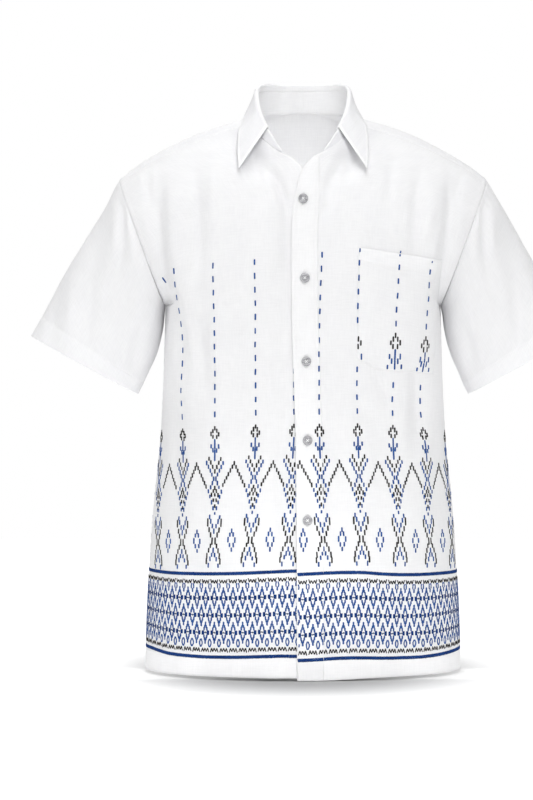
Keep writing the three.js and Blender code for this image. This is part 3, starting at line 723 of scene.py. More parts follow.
@dataclass(frozen=True)
class PearlFinish:
    """Grey pearl button, polished, with cloudy bands."""

    name: str = "grey_pearl"
    dark: Triple = (0.17, 0.17, 0.18)
    light: Triple = (0.55, 0.55, 0.57)

    def material(self) -> bpy.types.Material:
        """Builds the finish."""
        nodes = Nodes(self.name)
        place = nodes.add("ShaderNodeTexCoord").outputs["Object"]
        clouds = nodes.noise(place, (190, 190, 420), 3)
        grain = nodes.noise(place, (1500, 400, 1500), 2)
        share = nodes.math("SUBTRACT", nodes.math("MULTIPLY", nodes.math("ADD", clouds, grain), 1.6), 1.1)
        nodes.coloured(share, self.dark, self.light)
        nodes.bump(grain, 0.15, 0.0001)
        nodes.give(nodes.shader, {"Roughness": 0.26, "Coat Weight": 0.4, "Coat Roughness": 0.12})
        return nodes.material


SHELL_CLOTH = LinenFinish("linen_cloth", (0.75, 0.75, 0.765), (0.90, 0.90, 0.905))
COLLAR_LINEN = LinenFinish("linen_collar", (0.75, 0.75, 0.765), (0.90, 0.90, 0.905), slub=0.45)


class Thread(Enum):
    """The threads of the embroidery and the seams."""

    BLUE = ThreadFinish("blue_thread", (0.012, 0.053, 0.215), (0.034, 0.108, 0.330))
    NAVY = ThreadFinish("navy_thread", (0.003, 0.024, 0.120), (0.010, 0.052, 0.210))
    CHARCOAL = ThreadFinish("charcoal_thread", (0.012, 0.011, 0.012), (0.044, 0.042, 0.041))
    WHITE = ThreadFinish("white_thread", (0.80, 0.80, 0.81), (0.90, 0.90, 0.91), 0.75)


@cache
def material_of(finish: object) -> bpy.types.Material:
    """The material of a finish, made once."""
    return finish.material()


def dress(piece: Object, finish: object) -> Object:
    """Gives a piece its finish, in its material slot, and its body."""
    piece.data.materials.clear()
    piece.data.materials.append(material_of(finish))
    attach(piece, BODY)
    LOG.info("%s: %d faces", piece.name, len(piece.data.polygons))
    return piece


def shell(name: str, patches: list[Patch], finish: LinenFinish = SHELL_CLOTH,
          inside: Triple = BODY_MIDDLE) -> Object:
    """Makes and dresses a piece of cloth, which stands for the solid of its name.

    Args:
        name: the solid's name.
        patches: the grids of the piece's outer face.
        finish: its finish.
        inside: a point on the inner side of most of it.

    Returns:
        The piece.
    """
    piece = dress(cloth_mesh(f"{name}_cloth", patches, inside), finish)
    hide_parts(name)
    return piece


# ---------- panels of the body ----------

def spread_between(start: Array, end: Array, count: int) -> Array:
    """Rows of places spread evenly from each start to each end."""
    return start[:, None] + (end - start)[:, None] * np.linspace(0, 1, count)[None]


class Panel:
    """A panel of the body: its grid of cloth, and places on it by distance across and height."""

    FAR = 99.0
    HEM_STEP = (-0.6, 1.4)

    def __init__(self, facing: int, side: int, levels: Array, columns: int) -> None:
        """Lays the grid out and drapes it.

        Args:
            facing: 1 for the front, -1 for the back.
            side: 1 for the wearer's left, -1 for the right.
            levels: the level of each row, rising.
            columns: how many points there are across.
        """
        self.facing, self.side, self.levels = facing, side, levels
        self.name = "back" if facing < 0 else "front_left" if side > 0 else "front_right"
        begin, self.end = FORM.span(facing, levels)
        self.start = begin
        if facing > 0:
            self.start = FORM.edge(levels) if side > 0 else FORM.underlap(levels)
        across = spread_between(self.start, self.end, columns)
        base = FORM.points(facing, levels, across)
        if facing > 0 and side > 0:
            base[..., 2] -= FRONT_DROP * smoothstep(-levels, 0.9, 1)[:, None] * bell(across, FRONT_DROP_REACH)
        level = np.repeat(levels[:, None], columns, 1)
        to_seam = self.end[:, None] - across
        to_neck = np.where(level > V_LEVEL - 0.05, across - self.start[:, None], self.FAR)
        lift = DRAPE.on_body(facing, mirrored(base, side), level, to_seam, to_neck)
        lift = lift + self.pucker(across, level, to_seam) - self.tuck(level, to_seam)
        if facing > 0 and side < 0:
            from_edge = BAND_WIDTH + UNDERLAP_FADE / 2
            lift = lift - UNDERLAP_DROP * fade(across, from_edge - UNDERLAP_FADE, from_edge)
        self.heights = base[..., 2]
        hem = fade(base[..., 2] - HEM_Z - BODY_HEM, *self.HEM_STEP)
        points = mirrored(base + self.outward(base) * (lift + TURNED_LIFT * hem)[..., None], side)
        layers = hem + self.doubling_and_painted_light(across, level)
        self.patch = Patch(levels, points, CLOTH + TURNED_CLOTH * hem, layers, flip=facing < 0 and side < 0)

    def outward(self, base: Array) -> Array:
        """The directions out of the form; where two halves meet in the middle they lean neither way."""
        normals = grid_normals(base)
        if self.facing < 0:
            normals[self.start < 0.01, 0, 0] = 0
        normals = unit(normals)
        return normals if np.sum(normals[..., 1] * base[..., 1]) > 0 else -normals

    def tuck(self, level: Array, to_seam: Array) -> Array:
        """How far the cloth turns in at its seams."""
        low = fade(level, -0.02, 0.03)
        side_seam = (0.2 + 0.5 * low) * bell(to_seam, 1.8)
        felled = 0.45 * (1 - low) * smoothstep(to_seam, 0.5, 2.4) * fade(to_seam, 5.2, 8.2)
        shoulder = 0.8 * bell((1 - level) * SHOULDER_RISE, 2.0) * (level > 0.9)
        return np.maximum(side_seam, shoulder) - felled * (shoulder < 0.1)

    def pucker(self, across: Array, level: Array, to_seam: Array) -> Array:
        """Small puckers along the sewn edges."""
        down = level * BODY_RISE
        phase = 1.3 * np.sin(down / 31 + self.side) + 0.9 * self.facing
        beside = bell(to_seam - 6, 7) * np.sin(down / 2.1 + phase)
        from_hem = down - HEM_Z + ARMPIT_Z - BODY_HEM
        above = bell(from_hem, 5) * np.sin(across / 2.3 + 1.7 * np.sin(across / 29))
        return 0.16 * beside + 0.2 * above

    def doubling_and_painted_light(self, across: Array, level: Array) -> Array:
        """How much brighter the double cloth inside the neck edge of a front is, with a painted highlight along the
        edge itself and painted shade darkening it under the collar.
        """
        if self.facing < 0:
            return np.zeros_like(across)
        inside = across - self.start[:, None]
        under_collar = smoothstep(level, NOTCH_LEVEL - 0.01, NOTCH_LEVEL + 0.015)
        # Painted highlight: a bright thin line along the edge, brighter than double cloth, that stops under the
        # collar.
        edge = fade(inside, 2.2, 3.0) * (1 - under_collar)
        facing = fade(inside, FACING, FACING + 1.5)
        # Painted shade near the neckline above the V, where the collar lies over the front.
        painted_shade = smoothstep(level, 0.53, 0.62) * fade(inside, 18, 44)
        return (1.2 * edge + 0.1 * facing - 0.95 * painted_shade * (1 - edge)) * smoothstep(level, 0.2, 0.3)

    def reach(self, level: Array) -> Pair:
        """How far across the panel starts and ends at levels."""
        return np.interp(level, self.levels, self.start), np.interp(level, self.levels, self.end)

    def where(self, across: Array, z: Array) -> Pair:
        """The level and the share across of places on the panel.

        Args:
            across: distances across from the middle, towards the panel's own side.
            z: heights.

        Returns:
            Levels, and shares from 0 to 1.
        """
        columns = self.heights.shape[1]
        share = (across[None] - self.start[:, None]) / (self.end - self.start)[:, None]
        place = np.clip(share, 0, 1) * (columns - 1)
        column = np.minimum(place.astype(int), columns - 2)
        over = place - column
        rows = np.arange(len(self.levels))[:, None]
        heights = self.heights[rows, column] * (1 - over) + self.heights[rows, column + 1] * over
        heights = np.maximum.accumulate(heights, 0)
        level = np.array([np.interp(wanted, heights[:, i], self.levels) for i, wanted in enumerate(z)])
        start, end = self.reach(level)
        return level, (across - start) / (end - start)

    def place(self, across: Array, z: Array) -> Pair:
        """Points of the cloth, and the directions out of it, by distance across and height."""
        return self.patch.at(*self.where(np.asarray(across, float), np.asarray(z, float)))

    def place_level(self, level: Array, across: Array) -> Pair:
        """Points of the cloth, and the directions out of it, by level and distance across."""
        start, end = self.reach(level)
        return self.patch.at(level, (across - start) / (end - start))

    def across_of(self, x: Array, z: Array) -> Array:
        """The distances across at which the cloth has a given x, to its own side, and z."""
        x, z = np.asarray(x, float), np.asarray(z, float)
        across = x.copy()
        for _ in range(14):
            points, _ = self.place(across, z)
            across = across + 0.9 * (x - self.side * points[:, 0])
        return across


def level_rows(below: int, above: int, exact: float) -> Array:
    """Levels for the rows of a panel, closer where the hem is turned up, with one exact level."""
    low = np.linspace(-1, 0, below)
    low = low[np.abs((low + 1) * BODY_RISE - BODY_HEM) > 4]
    turned = (BODY_HEM + np.linspace(-3.2, 3.6, 9)) / BODY_RISE - 1
    high = np.linspace(0, SEAM_LEVEL, above)
    high[np.abs(high - exact).argmin()] = exact
    return np.unique(np.concatenate([low, turned, high]))


class BodyPieces:
    """The two fronts and the back."""

    FRONT_ROWS = (156, 84)
    BACK_ROWS = (128, 84)
    LEFT_COLUMNS = 88
    RIGHT_COLUMNS = 92
    BACK_COLUMNS = 66

    def __init__(self) -> None:
        """Drapes the panels; the back is laid as two halves that share their middle."""
        front, back = level_rows(*self.FRONT_ROWS, V_LEVEL), level_rows(*self.BACK_ROWS, BACK_NECK)
        self.left, self.right = Panel(1, 1, front, self.LEFT_COLUMNS), Panel(1, -1, front, self.RIGHT_COLUMNS)
        self.back = {side: Panel(-1, side, back, self.BACK_COLUMNS) for side in (1, -1)}

    def build(self) -> None:
        """Makes the three pieces."""
        pieces = {
            "front_left": shell("front_left", [self.left.patch]),
            "front_right": shell("front_right", [self.right.patch]),
            "back": shell("back", [half.patch for half in self.back.values()]),
        }


# ---------- sleeves ----------

class Sleeve:
    """One sleeve: a tube from the armhole to the turned hem."""

    GIRTH = 505.0
    ROWS = 78
    COLUMNS = 141
    FORM = Table("along topX topZ lowX lowZ depth", [
        (0, 249.5, -80, 187, -249, 70),
        (0.12, 264.5, -105, 188.6, -262, 69),
        (0.35, 290, -149, 191.5, -285, 66),
        (0.6, 318, -198, 199, -314, 62),
        (0.8, 343.5, -243, 211, -341, 58),
        (1, 370, -290, 224.5, -369, 54),
    ])

    def __init__(self, side: int) -> None:
        """Lays the tube out, its first column along the seam underneath.

        Args:
            side: 1 for the wearer's left, -1 for the right.
        """
        self.side = side
        hem = 1 - SLEEVE_HEM / SLEEVE_LENGTH
        plain = np.linspace(0.001, 1, self.ROWS)
        plain = plain[np.abs(plain - hem) * SLEEVE_LENGTH > 4]
        self.rows = np.unique(np.concatenate([plain, hem + np.linspace(-3.6, 3.2, 9) / SLEEVE_LENGTH]))
        along, turn = np.meshgrid(self.rows, np.linspace(0, 1, self.COLUMNS), indexing="ij")
        base = self.form(along, turn)
        normals = grid_normals(base, round_columns=True)
        middle = base.mean(1, keepdims=True)
        if np.sum(normals * (base - middle)) < 0:
            normals = -normals
        turned = smoothstep((along - hem) * SLEEVE_LENGTH, -1.4, 0.6)
        lift = DRAPE.on_sleeve(mirrored(base, side), along, turn) + self.pucker(along, turn, hem)
        lift = lift - 0.6 * bell(along * SLEEVE_LENGTH, 5.0) + TURNED_LIFT * turned
        points = mirrored(base + normals * lift[..., None], side)
        points[:, -1] = points[:, 0]
        self.patch = Patch(self.rows, points, CLOTH + TURNED_CLOTH * turned, 0.4 * turned)

    def form(self, along: Array, turn: Array) -> Array:
        """Points of the smooth tube; turn runs from 0 underneath, round the front, to 1."""
        ring = self.FORM.at(along)
        top, low = xyz(ring["topX"], 0, ring["topZ"]), xyz(ring["lowX"], 0, ring["lowZ"])
        angle = turn * 2 * np.pi
        share = (0.5 + 0.5 * np.cos(angle))[..., None]
        made = top + (low - top) * share
        made[..., 1] -= ring["depth"] * np.sin(angle)
        return made

    def pucker(self, along: Array, turn: Array, hem: float) -> Array:
        """Ease at the armhole, and small puckers at the hem's stitching."""
        round_it = turn * self.GIRTH
        from_hem = (along - hem) * SLEEVE_LENGTH
        cap = bell(along * SLEEVE_LENGTH - 9, 9) * np.sin(round_it / 2.4 + np.sin(round_it / 23))
        over_top = smoothstep(-np.cos(turn * 2 * np.pi), -0.5, 0.6)
        at_hem = bell(from_hem, 5) * np.sin(round_it / 2.2)
        seam = -0.55 * bell(from_hem - 1.0, 1.6)
        return 0.42 * cap * over_top + 0.2 * at_hem + seam

    def build(self) -> None:
        """Makes the sleeve."""
        name = "sleeve_left" if self.side > 0 else "sleeve_right"
        piece = shell(name, [self.patch], inside=(self.side * 256, 0, -255))


# ---------- collar ----------

class Collar:
    """The stand and the leaf, one fold of double cloth each, from notch to notch."""

    LINES = Table("q rollX rollY rollZ turn edgeX edgeY edgeZ", [
        (0, 0, 75, 60, 10, 0, 91, 10),
        (0.15, 31, 71, 60, 10, 38, 86, 11),
        (0.3, 53, 49, 57.5, 9.5, 71, 64, 13.5),
        (0.45, 62, 16, 48, 8.5, 79.3, 18, 8.2),
        (0.58, 62, -6, 33.5, 7, 81.8, -14, -0.8),
        (0.7, 59, -27, 15, 5.5, 85.6, -46, -15.8),
        (0.8, 53, -44, -2, 4.5, 86, -79, -46),
        (0.86, 48.5, -56, -11.5, 4, 84.5, -97, -70.5),
        (0.94, 39, -73.5, -30.5, 3, 84.5, -97, -70.5),
        (1, 28.5, -84.5, -47, 2, 84.5, -97, -70.5),
    ])
    MIDDLE = (0, 0, 10)
    SEAM_SAMPLES = 60
    STAND_GRID = ((-1, 1, 221), (0, 1, 15))
    LEAF_COLUMNS = 243
    ROLL_ROWS = 9
    FALL_ROWS = 25
    OVER_ROLL = 0.3

    def __init__(self) -> None:
        """Lays out the neck seam, the stand and the leaf."""
        back = np.linspace(BACK_NECK, 1, self.SEAM_SAMPLES)
        front = np.linspace(1, NOTCH_LEVEL, self.SEAM_SAMPLES)[1:]
        self.seam = np.concatenate([FORM.controls(-1, back)[:, 0], FORM.controls(1, front)[:, 0]])
        steps = np.linalg.norm(np.diff(self.seam, axis=0), axis=1)
        self.seam_at = np.concatenate([[0], np.cumsum(steps)]) / steps.sum()
        self.stand = self.stand_patch(*(np.linspace(*ends) for ends in self.STAND_GRID))
        self.leaf = self.leaf_patch(np.linspace(-LEAF_END, LEAF_END, self.LEAF_COLUMNS))

    def lines(self, q: Array) -> dict[str, Array]:
        """The seam, roll and edge points, the direction up the stand, and the turn at each q."""
        seam = xyz(*(np.interp(np.abs(q), self.seam_at, self.seam[:, axis]) for axis in range(3)))
        seam = seam * xyz(np.where(q < 0, -1, 1), 1, 1)
        roll = self.line("roll", q)
        along = self.line("roll", np.minimum(q + 0.02, 1)) - self.line("roll", np.maximum(q - 0.02, -1))
        out = unit(xyz(-along[:, 1], along[:, 0], 0))
        turn = self.LINES.at(np.abs(q))["turn"]
        edge, up = self.line("edge", q), unit(roll - seam)
        return {"seam": seam, "roll": roll, "edge": edge, "up": up, "out": out, "turn": turn}

    def line(self, name: str, q: Array) -> Array:
        """Points of the roll or of the edge, by the name of its columns."""
        row = self.LINES.at(np.abs(q))
        return xyz(np.where(q < 0, -1, 1) * row[f"{name}X"], row[f"{name}Y"], row[f"{name}Z"])

    def stand_patch(self, q: Array, height: Array) -> Patch:
        """The stand's outer face, row by row up from the neck seam."""
        line = self.lines(q)
        bare = smoothstep(np.abs(q), LEAF_END + 0.005, LEAF_END + 0.05)[:, None]
        bottom = line["seam"] + line["up"] * STAND_GAP
        top = line["roll"] - line["up"] * (line["turn"][:, None] + SEAM_GAP) * (1 - bare)
        top = top + line["out"] * (COLLAR_CLOTH / 2 - FOLD_RADIUS) * (1 - bare)
        points = bottom[None] + (top - bottom)[None] * height[:, None, None]
        swell = 0.5 * np.sin(np.pi * height)[:, None, None] * line["out"][None]
        wave = 0.25 * np.sin(q * 31)[None, :, None] * line["out"][None] * np.sin(np.pi * height)[:, None, None]
        shape = points.shape[:2]
        back = fade(np.abs(q), 0.72, 0.86)[None]
        unshaded_top = smoothstep(height, 0.84, 0.9)[:, None]
        # Double cloth at the back; towards the front ends, under the leaf's notch, painted shade darkens the stand,
        # all but its top edge, which stays bright.
        layers = 0.85 * back + (1 - back) * (1.9 * unshaded_top - 0.9)
        return Patch(height, points + swell + wave, np.full(shape, COLLAR_CLOTH), layers)

    def leaf_patch(self, q: Array) -> Patch:
        """The leaf's outer face, from inside the neck over the roll and down to its free edge."""
        line = self.lines(q)
        up, out = line["up"], line["out"]
        inset = line["roll"] - out * FOLD_RADIUS
        start = inset - up * line["turn"][:, None]
        rows = [start + (inset - up * FOLD_RADIUS - start) * t for t in (0, 0.5)]
        centre = inset - up * FOLD_RADIUS + out * FOLD_RADIUS
        for angle in np.linspace(0, np.pi, self.ROLL_ROWS):
            rows.append(centre - out * FOLD_RADIUS * math.cos(angle) + up * FOLD_RADIUS * math.sin(angle))
        begin, edge = rows[-1], line["edge"]
        bend = begin - up * 0.4 * np.linalg.norm(edge - begin, axis=1, keepdims=True)
        straight = smoothstep(np.abs(q), 0.62, LEAF_END)[:, None]
        bend = bend * (1 - straight) + ((begin + edge) / 2 - np.array([0, 8, 0])) * straight
        for t in np.linspace(0, 1, self.FALL_ROWS)[1:]:
            rows.append((1 - t) ** 2 * begin + 2 * t * (1 - t) * bend + t**2 * edge)
        points = np.stack(rows)
        normals = grid_normals(points)
        if np.sum(normals[-1, :, 0] * points[-1, :, 0]) < 0:
            normals = -normals
        over = np.linspace(0, self.OVER_ROLL, self.ROLL_ROWS + 2)
        keys = np.concatenate([over, np.linspace(self.OVER_ROLL, 1, self.FALL_ROWS)[1:]])
        falling = smoothstep(keys, self.OVER_ROLL, 0.8)[:, None]
        waves = 0.7 * np.sin(q * 23 + 0.6)[None] * falling + 0.3 * np.sin(q * 61)[None] * falling**2
        lift = COLLAR_CLOTH / 2 + waves * fade(np.abs(q), 0.8, LEAF_END)[None]
        shape = points.shape[:2]
        # Painted shade darkens the leaf from its roll down over its fall, all but its free edge and its front ends,
        # which stay as bright as the double cloth inside the neck.
        unshaded_ends = smoothstep(np.abs(q), LEAF_END - 0.022, LEAF_END - 0.014)
        unshaded_edge = np.maximum(smoothstep(keys, 0.95, 0.97)[:, None], unshaded_ends)
        layers = 0.9 - 1.3 * (1 - unshaded_edge) * smoothstep(keys, 0.14, self.OVER_ROLL)[:, None]
        return Patch(keys, points + normals * lift[..., None], np.full(shape, COLLAR_CLOTH), layers)

    def build(self) -> None:
        """Makes the stand and the leaf."""
        pieces = {
            "collar_stand": shell("collar_stand", [self.stand], COLLAR_LINEN, self.MIDDLE),
            "collar_leaf": shell("collar_leaf", [self.leaf], COLLAR_LINEN, self.MIDDLE),
        }


# ---------- what lies on the left front ----------

class FrontLayers:
    """The band down the edge of the front on top, and the breast pocket."""

    BUTTONS = [(0.5, -113.5), (2.4, -218), (4.2, -327.5), (6, -431), (6, -535.5)]
    POCKET_LEFT = (73, 71)
    POCKET_RIGHT = (184, 173)
    POCKET_TOP = ((0, 0.5, 1), (-178.5, -186.5, -193.5))
    POCKET_FOOT = ((0, 0.25, 1), (-322.5, -337.5, -342.5))
    POCKET_HEM = 19.0
    POCKET_TALL = 150.0
    POCKET_WIDE = 100.0
    POCKET_ROWS = 48
    POCKET_COLUMNS = 38
    BAND_COLUMNS = 15

    def __init__(self, front: Panel) -> None:
        """Lays the two layers on the front's cloth.

        Args:
            front: the wearer's left front.
        """
        self.front = front
        self.band = self.band_patch()
        self.pocket = self.pocket_patch()

    def band_patch(self) -> Patch:
        """The band's face, from its edge to its far side, by the front's own levels."""
        levels = self.front.levels[self.front.levels <= BAND_TOP + 0.001]
        start = FORM.edge(levels)
        end = FORM.edge(np.minimum(levels, BAND_STRAIGHT)) + BAND_WIDTH
        self.band_start, self.band_end = start, end
        across = spread_between(start, end, self.BAND_COLUMNS)
        points, normals = self.front.place_level(np.repeat(levels[:, None], self.BAND_COLUMNS, 1), across)
        from_side = np.minimum(across - start[:, None], end[:, None] - across)
        puffed = 0.28 * smoothstep(from_side, 0, 1.5) + 0.3 * smoothstep(from_side, 4.5, 8)
        down = levels * BODY_RISE
        puckers = 0.14 * np.sin(down / 2.0 + 1.5 * np.sin(down / 37))[:, None] * bell(from_side - 4, 2)
        points = points + normals * (BAND_LIFT - 0.35 + puffed + puckers)[..., None]
        return Patch(levels, points, np.full(across.shape, DOUBLE), np.full(across.shape, 0.6))

    def pocket_patch(self) -> Patch:
        """The pocket's face, by how far down it is and how far across."""
        share, down = np.linspace(0, 1, self.POCKET_COLUMNS), self.pocket_rows()
        left, right = self.pocket_sides(down)
        x = left[:, None] * (1 - share) + right[:, None] * share
        high, low = self.pocket_ends(share)
        z = high[None] + (low - high)[None] * down[:, None]
        across = self.front.across_of(x.ravel(), z.ravel())
        points, normals = self.front.place(across, z.ravel())
        points, normals = points.reshape(*x.shape, 3), normals.reshape(*x.shape, 3)
        fall = (down * self.POCKET_TALL)[:, None]
        side = np.minimum(share, 1 - share)[None] * self.POCKET_WIDE
        open_top = 0.7 * bell(fall, 22) * np.sin(np.pi * share)[None]
        sewn = np.minimum(side, (1 - down)[:, None] * self.POCKET_TALL)
        puffed = 0.3 * smoothstep(sewn, 0, 1.5) + 0.5 * smoothstep(sewn, 3, 12)
        puckers = 0.18 * np.sin((fall + 3 * side) / 2.2) * bell(sewn - 3.5, 3)
        slack = 0.8 * np.sin(share * 9 + 0.5)[None] * smoothstep(sewn, 5, 30) * (0.4 + 0.6 * down)[:, None]
        hem = fade(fall, self.POCKET_HEM - 0.7, self.POCKET_HEM + 0.7) + 0 * side
        lift = POCKET_LIFT - 0.45 + open_top + puffed + puckers + slack + 0.3 * hem
        return Patch(down, points + normals * lift[..., None], 0.85 + 0.4 * hem, 0.1 + 0.3 * hem)

    def pocket_sides(self, down: Array) -> Pair:
        """The x of the pocket's left and right edges, by how far down it is."""
        return tuple(top + (foot - top) * down for top, foot in (self.POCKET_LEFT, self.POCKET_RIGHT))

    def pocket_ends(self, share: Array) -> Pair:
        """The z of the pocket's top and foot, by how far across it is."""
        return tuple(np.interp(share, *end) for end in (self.POCKET_TOP, self.POCKET_FOOT))

    def pocket_rows(self) -> Array:
        """How far down each row lies, closer at the pocket's hem."""
        hem = self.POCKET_HEM / self.POCKET_TALL
        plain = np.linspace(0, 1, self.POCKET_ROWS)
        return np.unique(np.concatenate([plain[np.abs(plain - hem) > 0.012], hem + np.linspace(-0.01, 0.01, 5)]))

    def pocket_share(self, x: Array, z: Array) -> Pair:
        """How far down the pocket and how far across it places are, by x and z."""
        down = np.full_like(x, 0.5)
        for _ in range(6):
            left, right = self.pocket_sides(down)
            share = (x - left) / (right - left)
            high, low = self.pocket_ends(share)
            down = (high - z) / (high - low)
        return down, share

    def build(self) -> None:
        """Makes the band and the pocket."""
        pieces = {
            "front_band": shell("front_band", [self.band], COLLAR_LINEN),
            "pocket": shell("pocket", [self.pocket]),
        }


# ---------- stitches ----------

class StitchTree(Tree):
    """The node tree that sews: one tapered stitch on every point, laid along the point's run."""

    DRAWN = 2.4
    BLUNT = 6.0
    TAPER = 0.5
    SUNK = 0.42

    def __init__(self) -> None:
        """Builds the tree and its inputs."""
        super().__init__(bpy.data.node_groups.new("Stitches", "GeometryNodeTree"))
        sockets = self.tree.interface
        sockets.new_socket("Geometry", in_out="OUTPUT", socket_type="NodeSocketGeometry")
        sockets.new_socket("Points", in_out="INPUT", socket_type="NodeSocketGeometry")
        kinds = {"Finish": "Material", "Sides": "Int", "Flatness": "Float", "Unevenness": "Float", "Seed": "Int"}
        self.ids = {
            name: sockets.new_socket(name, in_out="INPUT", socket_type=f"NodeSocket{kind}").identifier
            for name, kind in kinds.items()
        }
        self.given = self.add("NodeGroupInput")
        self.wire()

    def carried(self, name: str, kind: str = "FLOAT") -> Socket:
        """A value carried by the points."""
        return self.add("GeometryNodeInputNamedAttribute", {"Name": name}, data_type=kind).outputs["Attribute"]

    def stitch(self) -> Socket:
        """One stitch a unit long and wide, thinner at its ends, which go down into the cloth."""
        rod = {"Vertices": self.given.outputs["Sides"], "Side Segments": 3, "Radius": 0.5, "Depth": 1.0}
        rod = self.add("GeometryNodeMeshCylinder", rod, fill_type="NGON")
        place = self.add("ShaderNodeSeparateXYZ", {0: self.add("GeometryNodeInputPosition").outputs[0]}).outputs
        squared = self.math("POWER", self.math("ABSOLUTE", place["Z"]), 2.0)
        drawn = self.math("SUBTRACT", self.DRAWN, self.math("MULTIPLY", squared, 4 * (self.DRAWN - 1)))
        far = self.math("MULTIPLY", place["Z"], drawn)
        bent = self.math("POWER", self.math("ABSOLUTE", self.math("MULTIPLY", far, 2.0)), self.BLUNT)
        slim = self.math("SUBTRACT", 1.0, self.math("MULTIPLY", bent, self.TAPER))
        sunk = self.math("MULTIPLY", bent, self.SUNK)
        made = self.add("ShaderNodeCombineXYZ", {
            "X": self.math("SUBTRACT", self.math("MULTIPLY", place["X"], slim), sunk),
            "Y": self.math("MULTIPLY", place["Y"], slim),
            "Z": far,
        })
        shaped = {"Geometry": rod.outputs["Mesh"], "Position": made.outputs[0]}
        return self.add("GeometryNodeSetPosition", shaped).outputs[0]

    def wire(self) -> None:
        """Puts the stitch on the points and makes it real."""
        given = self.given.outputs
        uneven = self.add("FunctionNodeRandomValue", {
            2: self.math("SUBTRACT", 1.0, given["Unevenness"]),
            3: self.math("ADD", 1.0, given["Unevenness"]),
            "Seed": given["Seed"],
        }, data_type="FLOAT")
        width = self.math("MULTIPLY", self.carried("width"), uneven.outputs[1])
        size = self.add("ShaderNodeCombineXYZ", {
            "X": self.math("MULTIPLY", width, given["Flatness"]), "Y": width, "Z": self.carried("length"),
        })
        turn = {0: self.carried("run", "FLOAT_VECTOR"), 1: self.carried("rise", "FLOAT_VECTOR")}
        turn = self.add("FunctionNodeAxesToRotation", turn, primary_axis="Z", secondary_axis="X")
        stitches = self.add("GeometryNodeInstanceOnPoints", {
            "Points": given["Points"], "Instance": self.stitch(),
            "Rotation": turn.outputs[0], "Scale": size.outputs[0],
        })
        real = self.add("GeometryNodeRealizeInstances", {0: stitches.outputs[0]})
        finish = self.add("GeometryNodeSetMaterial", {"Geometry": real.outputs[0], "Material": given["Finish"]})
        self.add("NodeGroupOutput", {0: finish.outputs[0]})


class Sewing:
    """Stitches gathered for one piece, then made as one mesh."""

    SHORTEST = 0.2
    SEAM_LIFT = 0.05
    UNEVEN = 0.09

    tree: StitchTree | None = None

    def __init__(self, name: str, thread: Thread, sides: int = 6, flatness: float = 0.55) -> None:
        """Starts an empty piece of sewing."""
        self.name, self.thread, self.sides, self.flatness = name, thread, sides, flatness
        self.parts: list[tuple[Array, ...]] = []

    def add(self, ends: Pair, rise: Array, width: object, lift: float = 0.12) -> None:
        """Adds stitches.

        Args:
            ends: where each stitch starts and ends, in millimetres.
            rise: the direction out of the cloth at each one.
            width: how wide each one is.
            lift: how far the middle of a stitch stands off the cloth.
        """
        first, last = ends
        run = last - first
        length = np.linalg.norm(run, axis=1)
        keep = length > self.SHORTEST
        middle = (first + last) / 2 + rise * lift
        wide = np.broadcast_to(np.asarray(width, float), length.shape)
        self.parts.append((middle[keep], unit(run)[keep], rise[keep], length[keep], wide[keep]))

    def along(self, points: Array, rise: Array, pitch: float, share: float, width: float) -> None:
        """Adds a running row of stitches along a line of points, each a share of the pitch long."""
        steps = np.linalg.norm(np.diff(points, axis=0), axis=1)
        at = np.concatenate([[0], np.cumsum(steps)])
        count = max(int(at[-1] / pitch), 1)
        start = (np.arange(count) + 0.5 - share / 2) * at[-1] / count
        end = start + share * at[-1] / count

        def read(values: Array, place: Array) -> Array:
            """Points or directions at distances along the line."""
            return xyz(*(np.interp(place, at, values[:, axis]) for axis in range(3)))

        out = unit(read(rise, (start + end) / 2))
        self.add((read(points, start), read(points, end)), out, width, self.SEAM_LIFT)

    def build(self) -> None:
        """Makes the stitches, as one piece."""
        if Sewing.tree is None:
            Sewing.tree = StitchTree()
        middle, run, rise, length, width = (np.concatenate(values) for values in zip(*self.parts))
        cloud = bpy.data.meshes.new(f"{self.name}_points")
        cloud.from_pydata((middle * MM).tolist(), [], [])
        carried = {"run": run, "rise": rise, "length": length * MM, "width": width * MM}
        for name, values in carried.items():
            kind, key = ("FLOAT", "value") if values.ndim == 1 else ("FLOAT_VECTOR", "vector")
            cloud.attributes.new(name, kind, "POINT").data.foreach_set(key, values.ravel())
        carrier = placed(f"{self.name}_points", cloud)
        modifier = carrier.modifiers.new("Stitches", "NODES")
        modifier.node_group = self.tree.tree
        given = {
            "Finish": material_of(self.thread.value), "Sides": self.sides, "Flatness": self.flatness,
            "Unevenness": self.UNEVEN, "Seed": len(self.name),
        }
        for name, value in given.items():
            modifier[self.tree.ids[name]] = value
        shown = carrier.evaluated_get(bpy.context.evaluated_depsgraph_get())
        mesh = bpy.data.meshes.new_from_object(shown)
        mesh.name = self.name
        mesh.polygons.foreach_set("use_smooth", np.ones(len(mesh.polygons), bool))
        for name in carried:
            if name in mesh.attributes:
                mesh.attributes.remove(mesh.attributes[name])
        bpy.data.objects.remove(carrier)
        bpy.data.meshes.remove(cloud)
        dress(placed(self.name, mesh), self.thread.value)


# ---------- embroidery ----------

class Layer(IntEnum):
    """The cloth that may be outermost at a place on a panel."""

    PANEL = 0
    BAND = 1
    POCKET = 2


@dataclass(frozen=True)
class Stroke:
    """One stitch of a motif, in millimetres from its middle: across, and down from its top."""

    thread: Thread
    u0: float
    v0: float
    u1: float
    v1: float
    width: float = 2.5


def pairs(thread: Thread, rows: list[Triple], width: float = 2.7) -> list[Stroke]:
    """Upright stitches either side of the middle, as (across, top, foot)."""
    strokes = []
    for u, top, foot in rows:
        for side in (1, -1) if u else (1,):
            strokes.append(Stroke(thread, side * u, top - 0.3, side * u, foot + 0.3, width))
    return strokes


def mirror_image(thread: Thread, width: float, rows: list[tuple[float, ...]]) -> list[Stroke]:
    """Slanting stitches on one side, as (across, down) of both ends, and then the same on the other."""
    return [Stroke(thread, side * u0, v0, side * u1, v1, width) for side in (1, -1) for u0, v0, u1, v1 in rows]


